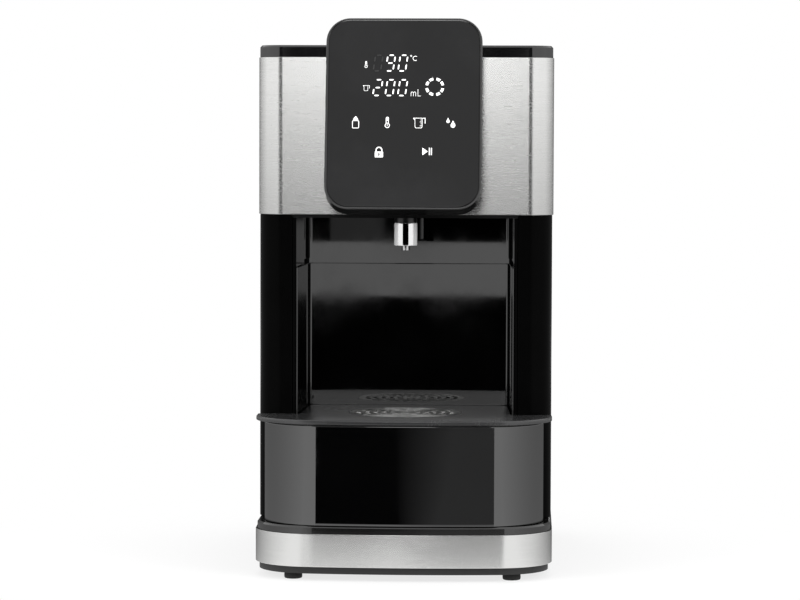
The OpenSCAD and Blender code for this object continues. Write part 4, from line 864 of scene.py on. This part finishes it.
class DISPENSER_OT_tray(bpy.types.Operator):
    """Drip tray block, platform with its rounded lip, and the round grille"""
    bl_idname = "dispenser.tray"
    bl_label = "Drip tray"

    def execute(self, context):
        s = sizes()
        self.block(s, gloss("tray_gloss", colours().gloss_black, 0.02, 1.0, 1.66))
        self.platform(s, gloss("platform_gloss", (0.022, 0.022, 0.0225), 0.24, 0.8))
        dress(brushed_steel, "grille_steel", (0.7, 0.7, 0.69), 0.4, "drip_grille")
        return {"FINISHED"}

    def block(self, s, material):
        """Open block with a channel under its floor for each of the deck's two rails."""
        a, b = low("drip_tray"), high("drip_tray")
        rail_x, rail_half, rail_stop, rail_height = 58 * MM, 1.8 * MM, 12.2 * MM, 2 * MM
        channels = [(side * rail_x, rail_half, b.y - a.y - rail_stop) for side in (1, -1)]
        e, t, floor, ceiling = 0.5 * MM, s.wall, a.z + 4.5 * MM, a.z + rail_height
        rows = [(e + HOLD, a.z, 1), *((*row, 1) for row in round_rows(e, a.z, -1)), (0, ceiling, 1), (0, ceiling),
                (0, b.z - e - HOLD), *round_rows(e, b.z, 1), (t - e, b.z), (t - 0.15 * MM, b.z - 0.15 * MM),
                (t, b.z - e), (t, floor + 1.5 * MM), (t + 0.4 * MM, floor + 0.4 * MM), (t + 1.5 * MM, floor)]
        make_piece("tray_block", loft(tongue_loop(s, a, b, s.tray_corner, 1 * MM, channels), rows), material,
                   body="tray", replaces=["drip_tray"])

    def platform(self, s, material):
        """Thin cover with a rounded lip, a stepped round seat for the grille and a locating rib below."""
        a, b, seat = low("drip_platform"), high("drip_platform"), high("drip_grille")
        tray_low, tray_high = low("drip_tray"), high("drip_tray")
        plate_z = tray_high.z + 1 * MM
        edge = tongue_loop(s, a, b, s.base_corner, 0.7 * MM)
        r, lower = 1.1 * MM, 0.5 * MM
        rows = [(lower, plate_z), (lower * 0.3, plate_z + lower * 0.3), (0, plate_z + lower), (0, b.z - r - HOLD),
                *round_rows(r, b.z, 1, 7)]
        seat_r, ledge_r, ledge_z = seat.x + 0.1 * MM, seat.x - 3 * MM, b.z - 1.6 * MM
        bowl = [(seat_r + 0.3 * MM, b.z), (seat_r + 0.1 * MM, b.z - 0.1 * MM), (seat_r, b.z - 0.3 * MM),
                (seat_r, ledge_z), (ledge_r, ledge_z), (ledge_r, plate_z)]
        sides = 96
        well, well_faces = lathe(bowl, sides, (0, (low("drip_grille").y + seat.y) / 2, 0))
        rings = np.reshape(well[:, :2], (len(bowl), sides, 2))
        rib_inset, rib_z, rib_top = s.wall + 0.6 * MM, a.z, plate_z - 0.01 * MM
        rib = [(rib_inset + across * MM, z) for across, z in
               ((0, rib_z + 0.4 * MM), (0, rib_top), (1.6, rib_top), (1.6, rib_z + 0.4 * MM), (1.2, rib_z),
                (0.4, rib_z))]
        well_faces = well_faces[:-sides]  # without the row that closes the profile
        parts = [loft(edge, rows, caps=False), (well, [face[::-1] for face in well_faces]),
                 plate_with_holes([edge.inset(rows[-1][0]), rings[0]], b.z),
                 plate_with_holes([edge.inset(lower), rings[-1]], plate_z, False),
                 loft(tongue_loop(s, tray_low, tray_high, s.tray_corner, 1 * MM), rib, closed=True)]
        make_piece("tray_cover", join(*parts), material, body="platform", replaces=["drip_platform"])


class DISPENSER_OT_tank(bpy.types.Operator):
    """Water tank with its valve and dock"""
    bl_idname = "dispenser.tank"
    bl_label = "Tank"

    def execute(self, context):
        dress(clear_plastic, "tank_plastic", colours().tank_smoke, 0.04, "tank_shell")
        dress(plastic, "valve_plastic", (0.6, 0.58, 0.52), 0.4, "inlet_filter valve_body valve_plunger tank_dock")
        dress(plastic, "seal_rubber", (0.3, 0.03, 0.02), 0.6, "valve_seal dock_seal")
        dress(polished, "pin_steel", (0.6, 0.6, 0.6), 0.2, "lid_pins valve_spring")
        return {"FINISHED"}


class DISPENSER_OT_inside(bpy.types.Operator):
    """Finishes of the parts inside the housing"""
    bl_idname = "dispenser.inside"
    bl_label = "Inner parts"

    def execute(self, context):
        for finish, name, rgb, roughness, nodes in (
                (plastic, "zinc_plate", (0.35, 0.36, 0.37), 0.4, "chassis heater_clamps pump_base pump_motor"),
                (plastic, "cream_plastic", (0.6, 0.57, 0.5), 0.45, "outlet_chamber heater_caps pump_head flow_meter"),
                (plastic, "mount_rubber", (0.02, 0.02, 0.02), 0.7, "pump_mounts thermostats"),
                (plastic, "silicone_hose", (0.6, 0.6, 0.58), 0.35,
                 "inlet_hose pump_hose heater_hose outlet_hose display_lead"),
                (plastic, "circuit_board", (0.02, 0.1, 0.035), 0.35, "power_board display_board"),
                (plastic, "component_grey", (0.18, 0.18, 0.2), 0.4, "board_parts"),
                (polished, "inner_steel", (0.55, 0.55, 0.54), 0.25, "heater_tube outlet_sensor console_screws"),
                (polished, "brass_standoff", (0.7, 0.5, 0.2), 0.25, "board_standoffs"),
                (plastic, "display_white", (0.75, 0.75, 0.73), 0.4, "display_block"),
                (polished, "pad_copper", (0.75, 0.4, 0.25), 0.3, "touch_pads")):
            dress(finish, name, rgb, roughness, nodes)
        return {"FINISHED"}


FRONT = -0.15  # y from which the reach of the cards ahead of the object is measured
LIFT = 0.002  # height of the lying cards over the floor
ROOM_BACK, ROOM_SIDE, ROOM_FRONT, ROOM_HEIGHT = 2.5, 2.5, -2.2, 1.6  # where the upright side cards stand


class DISPENSER_OT_stage(bpy.types.Operator):
    """Pale floor, soft lamps, cards for the reflections, and the camera of the photograph"""
    bl_idname = "dispenser.stage"
    bl_label = "Stage"

    def execute(self, context):
        self.world()
        self.floor()
        black = self.card_finish("black_card", 0.0)
        self.front_cards(black)
        self.round_cards()
        self.upright_cards(black)
        level = light()
        self.lamp("left_box", (-1.5, -1.1, 0.75), 1.1, 1.5, level.side_boxes)
        self.lamp("right_box", (1.5, -1.1, 0.75), 1.1, 1.5, level.side_boxes)
        self.lamp("top_box", (0, -0.2, 1.9), 1.6, 1.6, level.top_box)
        self.lamp("rear_box", (0, 2.0, 1.0), 1.6, 1.2, level.side_boxes * 0.5)
        self.camera()
        return {"FINISHED"}

    def world(self):
        """White where the camera, a reflection or a clear piece looks, and dimmer as light."""
        world = bpy.data.worlds.new("pale_room")
        bpy.context.scene.world = world
        world.use_nodes = True
        background = world.node_tree.nodes["Background"]
        background.inputs["Color"].default_value = (1, 1, 1, 1)
        feed(world.node_tree, self.white_level(world.node_tree), background.inputs["Strength"])

    def white_level(self, tree):
        """Number that is 1 for camera, glossy and transmission rays and the room's level for the rest."""
        rays = add_node(tree, "LightPath").outputs
        seen = rays["Is Camera Ray"]
        for label in ("Is Glossy Ray", "Is Transmission Ray"):
            seen = calculate(tree, "MAXIMUM", seen, rays[label])
        return remap(tree, seen, 0, 1, light().room, 1.0)

    def floor(self):
        """Pale floor round the object that turns into plain white further out."""
        made, tree, shader, place = base_material("floor_paper", (0.93, 0.93, 0.93), 0.6, {"Specular IOR Level": 0.0})
        distance = add_node(tree, "VectorMath", {0: place}, operation="LENGTH").outputs["Value"]
        white = add_node(tree, "Emission", {"Strength": self.white_level(tree)})
        mix = add_node(tree, "MixShader", {0: remap(tree, distance, 0.15, 0.36, 0.75, 1.0), 1: shader.outputs[0],
                                           2: white.outputs[0]})
        feed(tree, mix.outputs[0], tree.nodes["Material Output"].inputs["Surface"])
        half = 30
        self.card("floor", [(-half, -half, 0), (half, -half, 0), (half, half, 0), (-half, half, 0)], made)

    def front_cards(self, black):
        """Dark cards lying ahead of the object, and a small one before the nozzle."""
        left, right, near, middle, far = (-0.062, 16.5), (0.064, 22.5), 0.05, 1.22, 3.57

        def on_floor(edge, reach):
            x, azimuth = edge
            return (x + reach * math.tan(math.radians(math.copysign(azimuth, x))), FRONT - reach, LIFT)

        self.card("near_card", [on_floor(left, near), on_floor(left, middle), on_floor(right, middle),
                                on_floor(right, near)], self.graded_finish())
        far_edge = ((-1.38, 0.03), (-0.36, 0), (0.12, 0), (0.8, 0.03))
        self.card("far_card", [on_floor(left, middle), *((x, FRONT - far - dip, LIFT) for x, dip in far_edge),
                               on_floor(right, middle)], black)
        self.upright("nozzle_card", -0.118, -0.014, 0.015, 0.229, 0.251, black)

    def round_cards(self):
        """Cards on the floor and upright ones beside and behind the object, for views from other sides."""
        low_shade, high_shade = self.turning_finish("low_shade", 2.55), self.turning_finish("high_shade", 1.7)
        back, front, height = ROOM_BACK, ROOM_FRONT, ROOM_HEIGHT
        for side, name in ((-1, "left"), (1, "right")):
            x = side * ROOM_SIDE
            self.card(f"{name}_shade", [(side * across, y, LIFT) for across, y in
                                        ((0.112, -0.13), (0.112, 1.5), (1.4, 1.5), (1.4, -2.0))], low_shade)
            self.card(f"{name}_rear_shade", [(0, back, 0), (0, back, height), (x, back, height), (x, back, 0)],
                      high_shade)
            self.card(f"{name}_side_shade", [(x, back, 0), (x, back, height), (x, front, height), (x, front, 0)],
                      high_shade)

    def upright_cards(self, black):
        """Tall flags, level bands and a bright card before the object, each between two angles and heights."""
        dim, bright = self.card_finish("dim_card", 0.2), self.card_finish("bright_card", 3.5)
        for name, reach, a0, a1, z0, z1, material in (
                ("left_flag", 3.6, -23.0, -6.3, 0.145, 3.4, black), ("right_flag", 3.6, 2.3, 17.0, 0.145, 3.4, black),
                ("lid_band", 2.0, -6.9, 2.8, 0.372, 0.5, black), ("low_band", 2.0, -3.0, 2.1, 0.163, 0.25, black),
                ("dim_band", 2.0, -5.05, -3.0, 0.163, 0.25, dim), ("side_band", 2.0, -6.4, -5.05, 0.163, 0.25, black),
                ("bright_card", 3.0, -7.8, 3.4, 0.56, 1.45, bright)):
            x0, x1 = (reach * math.tan(math.radians(a)) for a in (a0, a1))
            self.upright(name, -reach, x0, x1, z0, z1, material)

    def upright(self, name, y, x0, x1, z0, z1, material):
        """Upright card facing the object."""
        self.card(name, [(x0, y, z0), (x0, y, z1), (x1, y, z1), (x1, y, z0)], material)

    def glowing_card(self, name):
        """Matt black material whose white emission is set by its finish."""
        return base_material(name, (0.0, 0.0, 0.0), 1.0, {"Specular IOR Level": 0.0, "Emission Strength": 1.0,
                                                          "Emission Color": (1, 1, 1, 1)})

    def card_finish(self, name, level):
        """Matt card of a fixed brightness, a little uneven."""
        made, tree, shader, place = self.glowing_card(name)
        feed(tree, shade_between(tree, (level * 0.95,) * 3, (level,) * 3, noise(tree, place, 2.0)),
             shader.inputs["Emission Color"])
        return made

    def turning_finish(self, name, white_angle):
        """Matt card that brightens from dim straight behind the object to white at an angle round to its front."""
        made, tree, shader, place = self.glowing_card(name)
        x, y, _ = position(tree, place)
        pivot_x, pivot_y, dim_angle, dim = 0.075, -0.11, 0.3, 0.14
        beside = calculate(tree, "SUBTRACT", calculate(tree, "ABSOLUTE", x), pivot_x)
        angle = calculate(tree, "ARCTAN2", beside, calculate(tree, "SUBTRACT", y, pivot_y))
        feed(tree, remap(tree, angle, dim_angle, white_angle, dim, 1.0), shader.inputs["Emission Strength"])
        return made

    def graded_finish(self):
        """Matt card that brightens from black on the left to dim on the right; its near strip is pale."""
        made, tree, shader, place = self.glowing_card("graded_card")
        x, y, _ = position(tree, place)
        reach = calculate(tree, "MULTIPLY_ADD", y, -1.0, FRONT)
        slope = calculate(tree, "DIVIDE", x, reach)
        level = add_node(tree, "Mix", {"A": remap(tree, slope, -0.06, 0.13, 0.0, 0.16),
                                       "B": remap(tree, slope, -0.1, 0.2, 0.84, 0.6),
                                       "Factor": remap(tree, reach, 0.17, 0.25, 1.0, 0.0)})
        feed(tree, level.outputs["Result"], shader.inputs["Emission Strength"])
        return made


    def card(self, name, corners, material):
        """Flat stage card; all but the floor show only in reflections."""
        mesh = bpy.data.meshes.new(name)
        mesh.from_pydata(corners, [], [list(range(len(corners)))])
        mesh.materials.append(material)
        card = bpy.data.objects.new(name, mesh)
        bpy.context.scene.collection.objects.link(card)
        if name != "floor":
            card.visible_camera = card.visible_diffuse = card.visible_shadow = False
            card.visible_transmission = False

    def lamp(self, name, place, width, height, power):
        """Rectangular softbox aimed at the object; reflections see the cards and the room instead."""
        data = bpy.data.lights.new(name, "AREA")
        data.shape, data.size, data.size_y, data.energy = "RECTANGLE", width, height, power
        lamp = bpy.data.objects.new(name, data)
        lamp.location = place
        lamp.visible_glossy = False
        target = Vector((0, 0, 0.2))
        lamp.rotation_euler = (target - Vector(place)).to_track_quat("-Z", "Y").to_euler()
        bpy.context.scene.collection.objects.link(lamp)

    def camera(self):
        """Long lens from the photograph's place, turned a little to the left and tipped down."""
        data = bpy.data.cameras.new("camera")
        data.lens, data.sensor_width = 146.48, 36.0
        data.clip_end = 100.0
        camera = bpy.data.objects.new("camera", data)
        place = (0.08508, -2.399, 0.31464)
        yaw, tip, roll = (math.radians(angle) for angle in (2.2063, -3.0112, 0.1714))
        camera.matrix_world = (Matrix.Translation(place) @ Matrix.Rotation(yaw, 4, "Z")
                               @ Matrix.Rotation(math.pi / 2 + tip, 4, "X") @ Matrix.Rotation(roll, 4, "Z"))
        bpy.context.scene.collection.objects.link(camera)
        bpy.context.scene.camera = camera
        bpy.context.scene.view_settings.view_transform = "Standard"


OPERATORS = [DISPENSER_OT_base, DISPENSER_OT_tower, DISPENSER_OT_head, DISPENSER_OT_console,
             DISPENSER_OT_symbols, DISPENSER_OT_nozzle, DISPENSER_OT_tray, DISPENSER_OT_tank,
             DISPENSER_OT_inside, DISPENSER_OT_stage]


class DISPENSER_PT_panel(bpy.types.Panel):
    """Sidebar panel that lists the steps"""
    bl_idname = "DISPENSER_PT_panel"
    bl_label = "Hot water dispenser"
    bl_space_type = "VIEW_3D"
    bl_region_type = "UI"
    bl_category = "Dispenser"

    def draw(self, context):
        for operator in OPERATORS:
            self.layout.operator(operator.bl_idname)


GROUPS = {"dispenser_sizes": DispenserSizes, "dispenser_colours": DispenserColours,
          "dispenser_light": DispenserLight}


def register():
    for cls in (*GROUPS.values(), *OPERATORS, DISPENSER_PT_panel):
        bpy.utils.register_class(cls)
    for name, group in GROUPS.items():
        setattr(bpy.types.Scene, name, PointerProperty(type=group))


def unregister():
    for name in GROUPS:
        delattr(bpy.types.Scene, name)
    for cls in (DISPENSER_PT_panel, *reversed(OPERATORS), *GROUPS.values()):
        bpy.utils.unregister_class(cls)


def main():
    register()
    for operator in OPERATORS:
        family, step = operator.bl_idname.split(".")
        getattr(getattr(bpy.ops, family), step)()


if __name__ == "__main__":
    main()
